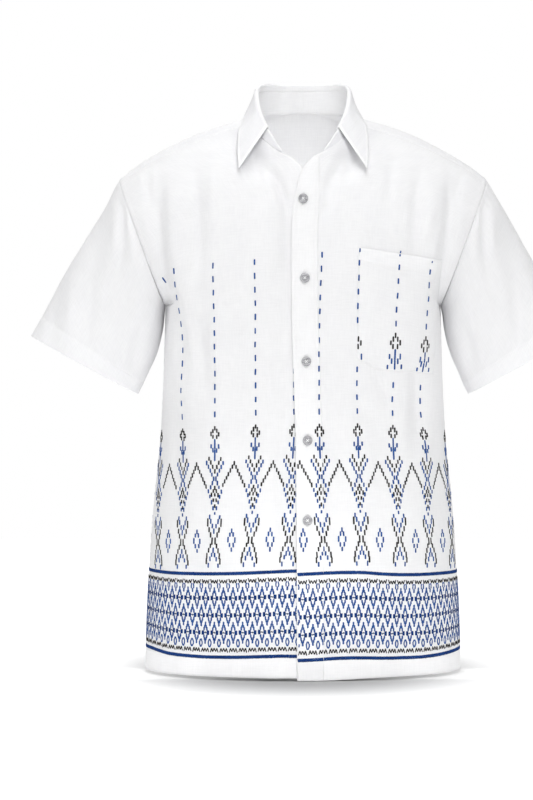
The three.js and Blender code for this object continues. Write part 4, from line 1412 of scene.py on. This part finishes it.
class Motifs:
    """The charts: upright stitches that step in and out, and the small figures of the border."""

    TREE = (
        pairs(Thread.CHARCOAL, [(0, 6, 11.6), (2.6, 9.3, 15.5), (5.2, 13.6, 19.4), (2.6, 17.4, 23)])
        + pairs(Thread.BLUE, [(0, 22.7, 37), (0, 36, 52.4), (5.2, 30, 35.8), (2.6, 35.2, 41.2)])
        + pairs(Thread.CHARCOAL, [(8.1, 46.6, 52), (5.5, 51.6, 57), (2.8, 56.8, 62.4), (0, 62.6, 68.6)])
        + pairs(Thread.BLUE, [
            (11.4, 52, 57.2), (8.9, 57, 62.4), (6.4, 62, 67.6), (3.9, 67.2, 72.8), (1.6, 72.2, 78.4),
            (3.5, 78, 84), (6.1, 84, 89.4), (9.3, 89.6, 94.9),
        ])
        + pairs(Thread.CHARCOAL, [(0, 85, 89.9), (2.1, 89.2, 94.2), (4.6, 94, 99.4), (0, 94.4, 98.8)])
        + pairs(Thread.BLUE, [(7, 96.4, 101.6), (4.7, 103.8, 109.2), (2.5, 111.6, 116.8), (0, 119, 123.2)])
        + pairs(Thread.CHARCOAL, [(2.1, 101.2, 106.2), (0, 109, 114)])
        + pairs(Thread.CHARCOAL, [
            (9.6, 127.6, 138.8), (7.2, 139, 146.2), (4.7, 145.8, 152.7), (2.2, 152.5, 162.4),
            (4.4, 160.6, 166.8), (6.9, 166.5, 173), (9.2, 173, 181), (10.1, 180, 188),
        ])
        + pairs(Thread.BLUE, [
            (7.3, 122.8, 128.6), (5.2, 128.2, 134.8), (2.6, 134.6, 140.6), (0, 141, 148),
            (0, 166.2, 172.8), (2.2, 172.6, 178.4), (4.6, 178, 184), (7.4, 186.4, 192.4),
        ])
    )
    DIAMOND = pairs(Thread.BLUE, [
        (0, 141.2, 147), (2.2, 146.4, 152.2), (4.6, 152.8, 160.2), (2.6, 160.3, 166.2), (0, 166.4, 172.2),
    ])
    CHEVRON = pairs(Thread.CHARCOAL, [(2.4 * k, 53 + 4.8 * k, 58.6 + 4.8 * k) for k in range(7)])
    BETWEEN = CHEVRON + DIAMOND
    SPRIG = (
        pairs(Thread.CHARCOAL, [(0, 6, 12.4), (3.0, 10.5, 17.5), (6.4, 15.5, 22), (3.0, 20, 27)])
        + pairs(Thread.BLUE, [(0, 26.5, 42), (0, 41, 58), (7.2, 33, 40.5), (4.2, 39, 47), (9.4, 47.5, 53)])
    )

    LOZENGE = [
        Stroke(thread, side * a, up * b, side * c, up * d, width)
        for up in (1, -1)
        for side in (1, -1)
        for thread, a, b, c, d, width in (
            (Thread.BLUE, 0.3, 14.6, 0.3, 9.4, 1.9),
            (Thread.BLUE, 0.9, 10.4, 1.4, 6.0, 2.5),
            (Thread.BLUE, 2.0, 7.4, 2.2, 2.6, 2.6),
        )
    ]
    LOZENGE += mirror_image(Thread.NAVY, 2.1, [(u, -3.1, u, 3.1) for u in (2.8, 3.8, 4.8)])
    LOZENGE += [Stroke(Thread.NAVY, -2.4, 0, 2.4, 0, 1.3), Stroke(Thread.CHARCOAL, -0.8, 1.0, 0.8, -1.0, 1.6)]
    CROWN = mirror_image(Thread.CHARCOAL, 1.85, [(5.5, -2.4, 3.9, 3.0), (3.9, 3.4, 2.0, -1.2), (2.0, -1.4, 0, 3.6)])
    FOOT = mirror_image(Thread.CHARCOAL, 1.85, [(5.5, 6.4, 3.9, 0.8), (3.9, 0.2, 2.0, 5.4), (2.0, 5.8, 0, 0.4)])
    BUD = mirror_image(Thread.BLUE, 2.1, [(0.9, -2.2, 2.0, 1.4), (2.0, 0.8, 1.5, 5.2), (0.2, 4.6, 0.2, 10.0)])
    DROP = mirror_image(Thread.BLUE, 2.1, [(0.3, -0.4, 1.9, 4.0), (2.0, 3.0, 1.9, 7.4), (1.9, 6.6, 0.3, 10.8)])


@dataclass(frozen=True)
class Column:
    """A line of figures.

    Its middle is given as (height, distance across) down its length; then the height of its tree's top, and its
    dashes as the middle of the first, the middle of the last and how many there are.
    """

    places: tuple[tuple[float, float], ...]
    top: float
    dashes: tuple[float, float, int] | None = None

    def at(self, z: Array) -> Array:
        """The distance across at heights."""
        places = np.array(self.places[::-1])
        return np.interp(z, places[:, 0], places[:, 1])


def own_half(panel: Panel, reach: float) -> Callable | None:
    """A rule for half the back, so that the stitches on its middle are sewn once, on the left half.

    Args:
        panel: any panel.
        reach: how far from the middle a stitch counts as lying on it.

    Returns:
        The rule, by layer and distance across; nothing for a front.
    """
    return (lambda layer, across: across > -reach * panel.side) if panel.facing < 0 else None


class Embroidery:
    """All the embroidery: columns on every panel, and the border round the hem."""

    LEFT = [
        Column(((-187, 25.2), (-243, 22.6), (-320, 20.7), (-417, 21.4), (-525, 24.4), (-587, 27.9)),
               -403, (-187, -393, 12)),
        Column(((-187, 74.8), (-255, 71.9), (-320, 70.9), (-416, 72), (-525, 75.4), (-588, 77.8)),
               -402.5, (-338, -392.5, 4)),
        Column(((-358, 120), (-395, 120.4), (-451, 122.9), (-527, 129.2), (-589, 132)),
               -405, (-358.5, -395.3, 3)),
        Column(((-362, 165.3), (-398, 168.9), (-422, 173), (-451, 176.4), (-529, 177.7), (-591, 183)),
               -408, (-362, -398, 3)),
        Column(((-445, 229), (-479, 229), (-506, 231), (-560, 233), (-593, 234)), -412),
    ]
    LEFT_MIDWAY = [
        Column(((-457, -4.2), (-561, 0.5)), -404.2),
        Column(((-457, 47.5), (-560, 51.2)), -403.3),
        Column(((-457, 101.1), (-562, 102.5)), -405),
        Column(((-460, 150), (-564, 155.8)), -407.5),
        Column(((-462, 203.5), (-566, 208.3)), -409.3),
    ]
    RIGHT = [
        Column(((-340, 12.1), (-417, 11.8), (-471, 14.1), (-523, 16.7), (-587, 20.4)), -403, (-340, -393.3, 4)),
        Column(((-197, 63.6), (-252, 62.6), (-395, 62.1), (-450, 63.7), (-526, 67), (-587, 71.5)),
               -404, (-197.5, -395, 12)),
        Column(((-202, 119.8), (-275, 116.9), (-397, 116.6), (-529, 118.1), (-588, 121.2)),
               -406.2, (-201.6, -396.6, 12)),
        Column(((-207, 180.2), (-243, 176.6), (-315, 172.3), (-400, 170.9), (-590, 169.7)),
               -409.4, (-207, -400.4, 12)),
        Column(((-445, 232), (-484, 229), (-519, 227.5), (-566, 223), (-592, 219)), -412),
    ]
    RIGHT_MIDWAY = [
        Column(((-457, 39.1), (-560, 43.3)), -403.7),
        Column(((-458, 91), (-562, 95)), -405),
        Column(((-461, 144.7), (-563, 145.1)), -407.6),
        Column(((-464, 199.9), (-565, 196.6)), -409.6),
    ]
    ON_POCKET = [
        Column(((-180, 73.2), (-255, 70.1), (-322, 69.3)), -284.3),
        Column(((-185, 129.4), (-222, 125.6), (-260, 122.9), (-306, 121.6), (-332, 120.9)),
               -284, (-203.6, -278, 5)),
        Column(((-192, 177.6), (-227, 171.0), (-264, 167.5), (-281, 166.3), (-338, 165.4)),
               -287.6, (-208, -281.1, 5)),
    ]
    POCKET_TOP = (
        (Layer.PANEL, (131.6, -181.4, 130.6, -184.8)),
        (Layer.POCKET, (129.6, -186.2, 129.0, -189.6)),
        (Layer.POCKET, (179.2, -193.2, 178.6, -196.0)),
    )
    SPACING = 51.8
    BACK_COLUMNS = 6
    BACK_DASHED = 4
    BACK_TAPER = 0.97
    BACK_TOP = (-403.0, -1.8)
    BACK_DASHES = ((-195.0, -3.0), (-394.0, -1.8))
    START = -20.0
    REPEAT_LEFT = (-0.5, 13.4)
    REPEAT_RIGHT = (0.8, 13.2)
    REPEAT_BACK = (0.0, 13.3)
    EDGE_MARGIN = 0.9
    BACK_MARGIN = {1: -3.0, -1: 0.1}
    UNDER_BAND = -9.0
    SEAM_MARGIN = 1.4
    SIDEWAYS = 0.6
    ON_MIDDLE = 0.6
    SATIN_ON_MIDDLE = 0.1
    SATIN_MARGIN = 0.1
    SATIN_UNEVEN = 0.08
    FIGURE_UNEVEN = 0.18
    SATIN = 1.35
    DASH = 8.4
    BESIDE_POCKET = Column(((-180, 75.0), (-255, 72.0), (-322, 71.2)), 0, (-180, -273.6, 6))
    STRAY = Column(((-216, 213.5), (-225, 209)), 0, (-220.4, -220.4, 1))
    HEIGHTS = (-603.4, -715.1)
    BORDER = (
        (Motifs.CROWN, -613.0, 0.0), (Motifs.BUD, -618.2, 0.5), (Motifs.LOZENGE, -636.2, 0.0),
        (Motifs.LOZENGE, -659.2, 0.5), (Motifs.LOZENGE, -682.5, 0.0), (Motifs.DROP, -691.0, 0.5),
        (Motifs.FOOT, -702.4, 0.0),
    )
    EDGES_LEFT = Table("across top foot", [
        (-12, -606, -718), (9, -605.1, -717.3), (33, -604, -716), (56, -603.5, -715.2),
        (80, -604, -715.5), (105, -606.2, -716.5), (132, -608, -717.2), (160, -608.8, -717.5),
        (190, -609, -716.6), (239, -609.1, -713.4), (300, -608.6, -711.5),
    ])
    EDGES_RIGHT = Table("across top foot", [
        (-20, -601, -712.6), (9, -601.5, -712.7), (33, -602.4, -712.4), (56, -603.5, -713.3),
        (81, -605, -714.7), (118, -606.4, -715.7), (145, -607.2, -715.8), (189, -607.7, -714.4),
        (232, -607.2, -710.6), (300, -606.8, -709),
    ])
    EDGES_BACK = Table("across top foot", [
        (0, -604, -715.4), (60, -604.8, -715.9), (120, -604.2, -716.1), (180, -606.4, -715), (230, -607.6, -711.8),
        (300, -607.6, -710.4),
    ])

    def __init__(self, body: BodyPieces, layers: FrontLayers) -> None:
        """Gathers every stitch.

        Args:
            body: the panels.
            layers: the band and the pocket, which carry the stitches where they cover the front.
        """
        self.layers, self.left = layers, body.left
        self.sewing: dict[str, Sewing] = {}
        self.draw = np.random.default_rng(5)
        uncovered = lambda layer, across: layer < Layer.POCKET
        self.columns(body.left, self.LEFT, Motifs.TREE, uncovered)
        self.columns(body.left, self.LEFT_MIDWAY, Motifs.BETWEEN, uncovered)
        self.columns(body.right, self.RIGHT, Motifs.TREE, uncovered)
        self.columns(body.right, self.RIGHT_MIDWAY, Motifs.BETWEEN, uncovered)
        self.columns(body.left, self.ON_POCKET, Motifs.SPRIG, lambda layer, across: layer == Layer.POCKET)
        self.columns(body.left, [self.BESIDE_POCKET], [], on=Layer.POCKET)
        for layer, (u0, z0, u1, z1) in self.POCKET_TOP:
            short = [Stroke(Thread.BLUE, u0, 0, u1, z0 - z1, 2.3)]
            self.sew(body.left, short, lambda z: 0 * z, np.array([z0]), uneven=0.1, on=layer)
        self.columns(body.right, [self.STRAY], [])
        self.border(body.left, self.EDGES_LEFT, *self.REPEAT_LEFT)
        self.border(body.right, self.EDGES_RIGHT, *self.REPEAT_RIGHT)
        for panel in body.back.values():
            self.back_columns(panel)
            self.border(panel, self.EDGES_BACK, *self.REPEAT_BACK)

    def surface(self, panel: Panel, across: Array, z: Array, layer: Array) -> Pair:
        """Points of the outermost cloth and the directions out of it.

        Args:
            panel: the panel.
            across: distances across.
            z: heights.
            layer: the cloth that each place is on.

        Returns:
            Points and unit vectors.
        """
        level, share = panel.where(across, z)
        points, normals = panel.patch.at(level, share)
        for cloth, finder in ((Layer.BAND, self.on_band), (Layer.POCKET, self.on_pocket)):
            chosen = layer == cloth
            if chosen.any():
                points[chosen], normals[chosen] = finder(level[chosen], across[chosen], points[chosen])
        return points, normals

    def on_band(self, level: Array, across: Array, points: Array) -> Pair:
        """Pair on the band."""
        layers = self.layers
        start = np.interp(level, layers.band.keys, layers.band_start)
        end = np.interp(level, layers.band.keys, layers.band_end)
        return layers.band.at(level, (across - start) / (end - start))

    def on_pocket(self, level: Array, across: Array, points: Array) -> Pair:
        """Pair on the pocket."""
        return self.layers.pocket.at(*self.layers.pocket_share(points[:, 0], points[:, 2]))

    def layer_of(self, panel: Panel, across: Array, z: Array) -> Array:
        """Which cloth is outermost at places of a panel."""
        layer = np.zeros(len(across), int)
        if panel is not self.left:
            return layer
        level, share = panel.where(across, z)
        points, _ = panel.patch.at(level, share)
        down, over = self.layers.pocket_share(points[:, 0], points[:, 2])
        layer[(down > 0) & (down < 1) & (over > 0) & (over < 1)] = Layer.POCKET
        layer[across < np.interp(level, self.layers.band.keys, self.layers.band_end)] = Layer.BAND
        return layer

    def sew(self, panel: Panel, strokes: list[Stroke], centre: Callable, tops: Array,
            allowed: Callable | None = None, uneven: float = 0.25, margin: float = EDGE_MARGIN,
            on: Layer | None = None) -> None:
        """Sews figures on a panel.

        Args:
            panel: the panel.
            strokes: one figure's stitches.
            centre: gives the middles of the figures at heights, one row a figure.
            tops: the height of each figure's top.
            allowed: says which stitches may be sewn, by layer and distance across.
            uneven: how far a stitch may wander.
            margin: how far from a front's edge the first stitch lies.
            on: the cloth it is sewn on, when it isn't whichever is outermost.
        """
        margin = margin if panel.facing > 0 else self.BACK_MARGIN[panel.side]
        for thread in dict.fromkeys(stroke.thread for stroke in strokes):
            own = [(each.u0, each.v0, each.u1, each.v1, each.width) for each in strokes if each.thread is thread]
            u0, v0, u1, v1, width = np.array(own).T[:, None]
            z0, z1 = tops[:, None] - v0, tops[:, None] - v1
            a0, a1 = centre(z0) + u0, centre(z1) + u1
            wander = self.draw.normal(0, uneven, (4, *a0.shape))
            wander[::2] *= self.SIDEWAYS
            found = (a0 + wander[0], z0 + wander[1], a1 + wander[2], z1 + wander[3], width + 0 * a0)
            a0, z0, a1, z1, wide = (values.ravel() for values in found)
            middle, height = (a0 + a1) / 2, (z0 + z1) / 2
            layer = self.layer_of(panel, middle, height) if on is None else np.full(len(middle), on)
            edge, end = panel.reach(panel.where(middle, height)[0])
            keep = np.minimum(a0, a1) > np.maximum(edge, self.UNDER_BAND) + margin
            keep &= np.maximum(a0, a1) < end - self.SEAM_MARGIN
            if allowed is not None:
                keep &= allowed(layer, middle)
            if not keep.any():
                continue
            a0, z0, a1, z1, wide, layer = (values[keep] for values in (a0, z0, a1, z1, wide, layer))
            first, rise = self.surface(panel, a0, z0, layer)
            last, rise_too = self.surface(panel, a1, z1, layer)
            piece = f"embroidery_{panel.name}_{thread.name.lower()}"
            sewing = self.sewing.setdefault(piece, Sewing(piece, thread, 6 if panel.facing > 0 else 5))
            sewing.add((first, last), unit(rise + rise_too), wide)

    def columns(self, panel: Panel, columns: list[Column], figure: list[Stroke], allowed: Callable | None = None,
                on: Layer | None = None) -> None:
        """Sews columns of dashes, each with a figure under it."""
        dash = [Stroke(Thread.BLUE, 0, 0, 0, self.DASH, 2.7)]
        for column in columns:
            if column.dashes is not None:
                self.sew(panel, dash, column.at, np.linspace(*column.dashes) + self.DASH / 2, allowed, on=on)
            self.sew(panel, figure, column.at, np.array([column.top]), allowed)

    def back_columns(self, panel: Panel) -> None:
        """Sews the columns of half the back, in even steps from its middle."""
        allowed = own_half(panel, self.ON_MIDDLE)
        for step in range(self.BACK_COLUMNS):
            across = self.SPACING * step
            top, first, last = (start + change * step for start, change in (self.BACK_TOP, *self.BACK_DASHES))
            dashes = (first, last, 12) if step < self.BACK_DASHED else None
            line = Column(((-150, across * self.BACK_TAPER), (-600, across)), top, dashes)
            self.columns(panel, [line], Motifs.TREE, allowed)
            across += self.SPACING / 2
            line = Column(((-150, across), (-600, across)), top + self.BACK_TOP[1] / 2)
            self.columns(panel, [line], Motifs.BETWEEN, allowed)

    def border(self, panel: Panel, edges: Table, phase: float, pitch: float) -> None:
        """Sews the border of one panel: two satin lines and the rows of figures between them."""
        reach = panel.end[0] - self.START
        place = self.START + self.SATIN * np.arange(int(reach / self.SATIN))
        satin = [Stroke(Thread.NAVY, -0.5, -2.4, 0.5, 2.4, 1.75)]
        for edge in ("top", "foot"):
            tops, allowed = edges.at(place)[edge], own_half(panel, self.SATIN_ON_MIDDLE)
            self.sew(panel, satin, lambda z: place[:, None], tops, allowed, self.SATIN_UNEVEN, self.SATIN_MARGIN)
        high, low = self.HEIGHTS
        for figure, row, shift in self.BORDER:
            middle = phase + pitch * (np.arange(int(reach / pitch) + 2) - 1 + shift)
            line = edges.at(middle)
            tops = line["top"] + (row - high) / (low - high) * (line["foot"] - line["top"])
            allowed = own_half(panel, self.ON_MIDDLE)
            self.sew(panel, figure, lambda z: middle[:, None], tops, allowed, self.FIGURE_UNEVEN)

    def build(self) -> None:
        """Makes the embroidery, one piece for each thread on each panel."""
        for sewing in self.sewing.values():
            sewing.build()


# ---------- seams ----------

class Seams:
    """White topstitching along hems, edges and seams."""

    PITCH = 2.9
    SHARE = 0.74
    WIDTH = 0.55
    SHOULDER = 0.985
    ARMHOLE_INSET = 6.5
    NECK_INSETS = (1.7, FACING)
    LEAF_EDGE = 0.955
    LEAF_ENDS = (0.012, 0.988)
    BAND_SIDES = (0.13, 0.87)
    POCKET_SIDES = (0.02, 0.98)

    def __init__(self, body: BodyPieces, sleeves: list[Sleeve], collar: Collar, layers: FrontLayers) -> None:
        """Gathers every row of stitches."""
        self.rows = {name: Sewing(f"topstitching_{name}", Thread.WHITE, 4, 0.7) for name in (
            "body", "sleeves", "collar", "band", "pocket",
        )}
        self.on_body(body)
        for sleeve in sleeves:
            self.on_sleeve(sleeve)
        self.on_collar(collar)
        self.on_layers(layers)

    def sew(self, name: str, found: Pair, inner: float = 0.0) -> None:
        """Adds one row along points, or on the inner face if a thickness is given."""
        points, rise = found
        if inner:
            points, rise = points - rise * inner, -rise
        self.rows[name].along(points, rise, self.PITCH, self.SHARE, self.WIDTH)

    def run(self, name: str, patch: Patch, key: Array | float, share: Array | float, inner: float = 0.0) -> None:
        """Adds one row on a patch; the key or the share may be one number all along."""
        self.sew(name, patch.at(*np.broadcast_arrays(key, share)), inner)

    def on_body(self, body: BodyPieces) -> None:
        """Hems, neck edges, armholes and shoulders."""
        halves = tuple(body.back.values())
        for panel in (body.left, body.right, *halves):
            across = np.linspace(panel.start[0] + 0.8, panel.end[0] - 1.5, 200)
            self.sew("body", panel.place(across, np.full(len(across), HEM_Z + BODY_HEM - STITCH_INSET)))
            level = np.linspace(0.01, self.SHOULDER, 160)
            self.sew("body", panel.place_level(level, panel.reach(level)[1] - self.ARMHOLE_INSET))
        for panel in halves:
            begin, end = panel.reach(self.SHOULDER)
            self.sew("body", panel.place_level(np.full(60, self.SHOULDER), np.linspace(begin + 2, end - 2, 60)))
        for panel in (body.left, body.right):
            level = np.linspace(0.22 if panel.side < 0 else 0.3, NOTCH_LEVEL, 70)
            for inside in self.NECK_INSETS:
                self.sew("body", panel.place_level(level, panel.reach(level)[0] + inside))

    def on_sleeve(self, sleeve: Sleeve) -> None:
        """The hem of a sleeve."""
        self.run("sleeves", sleeve.patch, 1 - (SLEEVE_HEM - STITCH_INSET) / SLEEVE_LENGTH, np.linspace(0, 1, 220))

    def on_collar(self, collar: Collar) -> None:
        """The leaf's edges and the neck seam."""
        share = np.linspace(*self.LEAF_ENDS, 240)
        self.run("collar", collar.leaf, self.LEAF_EDGE, share)
        for end in self.LEAF_ENDS:
            self.run("collar", collar.leaf, np.linspace(0.33, self.LEAF_EDGE, 50), end)
        for height in (0.06, 0.16):
            self.run("collar", collar.stand, height, share, COLLAR_CLOTH)
        self.run("collar", collar.stand, 0.08, share)

    def on_layers(self, layers: FrontLayers) -> None:
        """The band's two edges, the pocket's sides and its hem."""
        for share in self.BAND_SIDES:
            self.run("band", layers.band, np.linspace(-0.995, BAND_TOP - 0.02, 400), share)
        for share in self.POCKET_SIDES:
            self.run("pocket", layers.pocket, np.linspace(0.01, 0.985, 90), share)
        for height in (0.985, (layers.POCKET_HEM - STITCH_INSET) / layers.POCKET_TALL):
            self.run("pocket", layers.pocket, height, np.linspace(*self.POCKET_SIDES, 70))

    def build(self) -> None:
        """Makes the rows, one piece for each part of the shirt."""
        for sewing in self.rows.values():
            sewing.build()


# ---------- buttons ----------

class Button:
    """A round button with a raised rim, a dish and four holes, sewn on with a cross of white thread."""

    RADIUS = 6.4
    HEIGHT = 2.6
    RIM = 1.6
    HOLE = 0.85
    HOLE_PLACE = 1.5
    AROUND = 56
    RINGS = 26

    def __init__(self, number: int, seat: Array, out: Array) -> None:
        """Pair the button.

        Args:
            number: its number from the top.
            seat: the middle of its underside, in millimetres.
            out: the direction it faces.
        """
        self.number, self.seat, self.out = number, seat, out
        self.over = unit(np.cross((0, 0, 1), out))
        self.up = np.cross(out, self.over)

    def height(self, x: Array, y: Array) -> Array:
        """How high the face is over the seat."""
        radius = np.hypot(x, y)
        rim = 1 - ((radius - (self.RADIUS - self.RIM)) / self.RIM) ** 2
        crest = self.HEIGHT - 0.9 * (1 - np.sqrt(np.clip(rim, 0, 1))) * (radius > self.RADIUS - self.RIM)
        dish = 0.95 * smoothstep(self.RADIUS - self.RIM - radius, 0, 1.3)
        made = crest - dish
        for a in (-1, 1):
            for b in (-1, 1):
                near = np.hypot(x - a * self.HOLE_PLACE, y - b * self.HOLE_PLACE)
                made = made - 0.9 * fade(near, self.HOLE * 0.7, self.HOLE * 1.1)
        return made

    def place(self, x: Array, y: Array, z: Array) -> Array:
        """Points of the button's own frame, in the shirt's."""
        return self.seat + x[..., None] * self.over + y[..., None] * self.up + z[..., None] * self.out

    def build(self) -> None:
        """Makes the button."""
        near_rim = self.RADIUS - np.array([0.4, 0.2, 0.06, 0])
        rings = np.concatenate([np.linspace(0.2, self.RADIUS - 0.7, self.RINGS), near_rim])
        angle = np.linspace(0, 2 * np.pi, self.AROUND, endpoint=False)
        x, y = rings[:, None] * np.cos(angle), rings[:, None] * np.sin(angle)
        top = self.place(x, y, self.height(x, y)).reshape(-1, 3)
        low = np.array([(self.RADIUS, 0.7), (self.RADIUS - 0.15, 0.25), (self.RADIUS - 0.6, 0.0), (0.2, 0.0)])
        under = self.place(low[:, :1] * np.cos(angle), low[:, :1] * np.sin(angle), low[:, 1:] + 0 * angle)
        ends = self.place(np.zeros(2), np.zeros(2), np.array([float(self.height(0.0, 0.0)), 0.0]))
        points = np.concatenate([top, under.reshape(-1, 3), ends])
        count = len(rings) + len(low)
        ids = np.arange(count * self.AROUND).reshape(count, self.AROUND)
        after = np.roll(ids, -1, 1)
        faces = np.stack([ids[:-1], ids[1:], after[1:], after[:-1]], -1).reshape(-1, 4).tolist()
        faces += [[count * self.AROUND, a, b] for a, b in zip(ids[0], after[0])]
        faces += [[count * self.AROUND + 1, b, a] for a, b in zip(ids[-1], after[-1])]
        name = f"button_{self.number}"
        mesh = bpy.data.meshes.new(f"{name}_pearl")
        mesh.from_pydata((points * MM).tolist(), [], faces)
        mesh.polygons.foreach_set("use_smooth", np.ones(len(faces), bool))
        made = dress(placed(f"{name}_pearl", mesh), PearlFinish())
        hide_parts(name)

    def thread(self, sewing: Sewing) -> None:
        """Adds the cross of thread through the holes."""
        reach = self.HOLE_PLACE + 0.3
        for side in (-1, 1):
            for shift in (-0.3, 0.3):
                a = np.array([[-reach - shift * 0.6], [reach - shift * 0.6]])
                b = np.array([[-reach * side + shift * side * 0.6], [reach * side + shift * side * 0.6]])
                ends = self.place(a, b, np.full((2, 1), self.HEIGHT - 0.72 + 0.12 * side))
                sewing.add((ends[0], ends[1]), self.out[None], 0.75)


class Buttons:
    """The five buttons on the band, and their buttonholes."""

    SEAT = 0.25
    HOLE = (0.35, 1.9)

    def __init__(self, layers: FrontLayers, panel: Panel, embroidery: Embroidery) -> None:
        """Seats the buttons.

        Args:
            layers: the band and the pocket.
            panel: the front on top.
            embroidery: finds the band's face.
        """
        spots = np.array(layers.BUTTONS, float)
        across = panel.across_of(spots[:, 0], spots[:, 1])
        seats, out = embroidery.surface(panel, across, spots[:, 1], np.full(len(spots), Layer.BAND))
        self.buttons = [Button(i + 1, seats[i] + out[i] * self.SEAT, out[i]) for i in range(len(spots))]
        self.holes = Sewing("buttonholes", Thread.WHITE, 4, 0.6)
        self.crosses = Sewing("button_threads", Thread.WHITE, 6, 0.8)
        for place, (_, z) in zip(across, spots):
            heights = z + np.linspace(-8.6, 8.6, 27)
            band = np.full(len(heights), Layer.BAND)
            for side in (-1, 1):
                (first, rise), (last, _) = (
                    embroidery.surface(panel, np.full(len(heights), place + side * reach), heights, band)
                    for reach in self.HOLE
                )
                self.holes.add((first, last), rise, 0.6, 0.05)
        for button in self.buttons:
            button.thread(self.crosses)

    def build(self) -> None:
        """Makes the buttons, their threads and the buttonholes."""
        for made in (*self.buttons, self.holes, self.crosses):
            made.build()


# ---------- studio ----------

@dataclass(frozen=True)
class Lamp:
    """A soft light, square unless tall is given, itself unseen; lengths in metres."""

    name: str
    place: Triple
    aim: Triple
    size: float
    power: float
    spread: float = 180
    tall: float | None = None

    def hang(self) -> None:
        """Puts the lamp in the scene."""
        lamp = bpy.data.lights.new(self.name, "AREA")
        lamp.energy, lamp.size, lamp.spread = self.power, self.size, math.radians(self.spread)
        if self.tall is not None:
            lamp.shape, lamp.size_y = "RECTANGLE", self.tall
        made = placed(self.name, lamp)
        made.location, made.visible_camera = self.place, False
        made.rotation_euler = (Vector(self.aim) - Vector(self.place)).to_track_quat("-Z", "Y").to_euler()


class Studio:
    """A floor, white but for a painted shadow round the hem, soft light and the camera."""

    FLOOR = -0.7452
    FLOOR_REACH = 3.0
    CAMERA = (0.0, -3.2, -0.378)
    LENS = 105.9
    SHIFT = -0.0456
    SKY = ((-1.0, 0.13), (1.0, 0.68))
    # The floor's own light, none near the shirt and more away from it: a painted shadow under and round the hem.
    PAINTED_SHADOW_GLOW = ((0.14, 0.0), (0.38, 0.8))
    LAMPS = (
        Lamp("key", (0.6, -2.5, 1.8), (0, 0, -0.2), 0.9, 33.0),
        Lamp("fill", (0.2, -2.7, -0.3), (0, 0, -0.5), 0.9, 4.0),
        Lamp("side", (-2.0, -0.7, 0.9), (0, 0, -0.2), 0.8, 6.0),
        Lamp("top", (-0.1, -0.5, 1.5), (0, 0, 0), 0.8, 9.5),
        Lamp("back", (-0.6, 2.4, 1.0), (0, 0, -0.3), 1.0, 12.0),
        Lamp("hem", (0.0, -0.46, -0.722), (0, -0.1, -0.73), 0.52, 0.5, tall=0.03),
        Lamp("neck", (0, -0.02, -0.27), (0, 0.08, 0.01), 0.14, 0.15, spread=100),
        Lamp("under", (0, -0.045, -0.71), (0, -0.045, -0.745), 0.5, 0.1, spread=50, tall=0.12),
    )

    def floor(self) -> None:
        """A grey floor under the hem, made white away from the shirt by its own emission, which leaves a painted
        shadow under and round the hem.
        """
        mesh = bpy.data.meshes.new("floor")
        far = self.FLOOR_REACH
        corners = [(x, y, self.FLOOR) for x, y in ((-far, -far), (far, -far), (far, far), (-far, far))]
        mesh.from_pydata(corners, [], [(0, 1, 2, 3)])
        made = placed("floor", mesh)
        nodes = Nodes("white_floor")
        nodes.give(nodes.shader, {
            "Base Color": (0.41, 0.41, 0.41, 1), "Roughness": 0.9, "Emission Color": (1, 1, 1, 1),
        })
        # Painted shadow: grey near the shirt, its emission rising to white with the distance from it.
        place = nodes.add("ShaderNodeTexCoord").outputs["Object"]
        flat = nodes.add("ShaderNodeMapping", {"Vector": place, "Scale": (1.22, 1, 0)}).outputs["Vector"]
        away = nodes.add("ShaderNodeVectorMath", {0: flat}, operation="LENGTH").outputs["Value"]
        painted_shadow_glow = nodes.ramp(away, *self.PAINTED_SHADOW_GLOW, interpolation_type="SMOOTHSTEP")
        nodes.give(nodes.shader, {"Emission Strength": painted_shadow_glow})
        mesh.materials.append(nodes.material)

    def sky(self) -> None:
        """White behind the shirt, and a softer white as light from all round."""
        world = bpy.data.worlds.new("studio")
        world.use_nodes = True
        nodes = Tree(world.node_tree)
        seen = nodes.give(nodes.tree.nodes["Background"], {"Color": (1, 1, 1, 1)})
        height = nodes.add("ShaderNodeSeparateXYZ", {0: nodes.add("ShaderNodeTexCoord").outputs["Generated"]})
        soft = nodes.add("ShaderNodeBackground", {"Strength": nodes.ramp(height.outputs["Z"], *self.SKY)})
        to_camera = nodes.add("ShaderNodeLightPath").outputs["Is Camera Ray"]
        mix = nodes.add("ShaderNodeMixShader", {0: to_camera, 1: soft.outputs[0], 2: seen.outputs[0]})
        nodes.give(nodes.tree.nodes["World Output"], {"Surface": mix.outputs[0]})
        bpy.context.scene.world = world

    def camera(self) -> None:
        """A level camera in front."""
        camera = bpy.data.cameras.new("camera")
        camera.lens, camera.shift_x = self.LENS, self.SHIFT
        made = placed("camera", camera)
        made.location, made.rotation_euler = self.CAMERA, (math.pi / 2, 0, 0)
        scene = bpy.context.scene
        scene.camera, scene.view_settings.view_transform = made, "Standard"

    def build(self) -> None:
        """Sets the stage."""
        self.sky()
        self.floor()
        for lamp in self.LAMPS:
            lamp.hang()
        self.camera()


def main() -> None:
    """Builds the shirt and its studio."""
    logging.basicConfig(level=logging.INFO)
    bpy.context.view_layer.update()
    body, sleeves, collar = BodyPieces(), [Sleeve(side) for side in (1, -1)], Collar()
    layers = FrontLayers(body.left)
    for part in (body, *sleeves, collar, layers):
        part.build()
    embroidery = Embroidery(body, layers)
    embroidery.build()
    Seams(body, sleeves, collar, layers).build()
    Buttons(layers, body.left, embroidery).build()
    Studio().build()


if __name__ == "__main__":
    main()
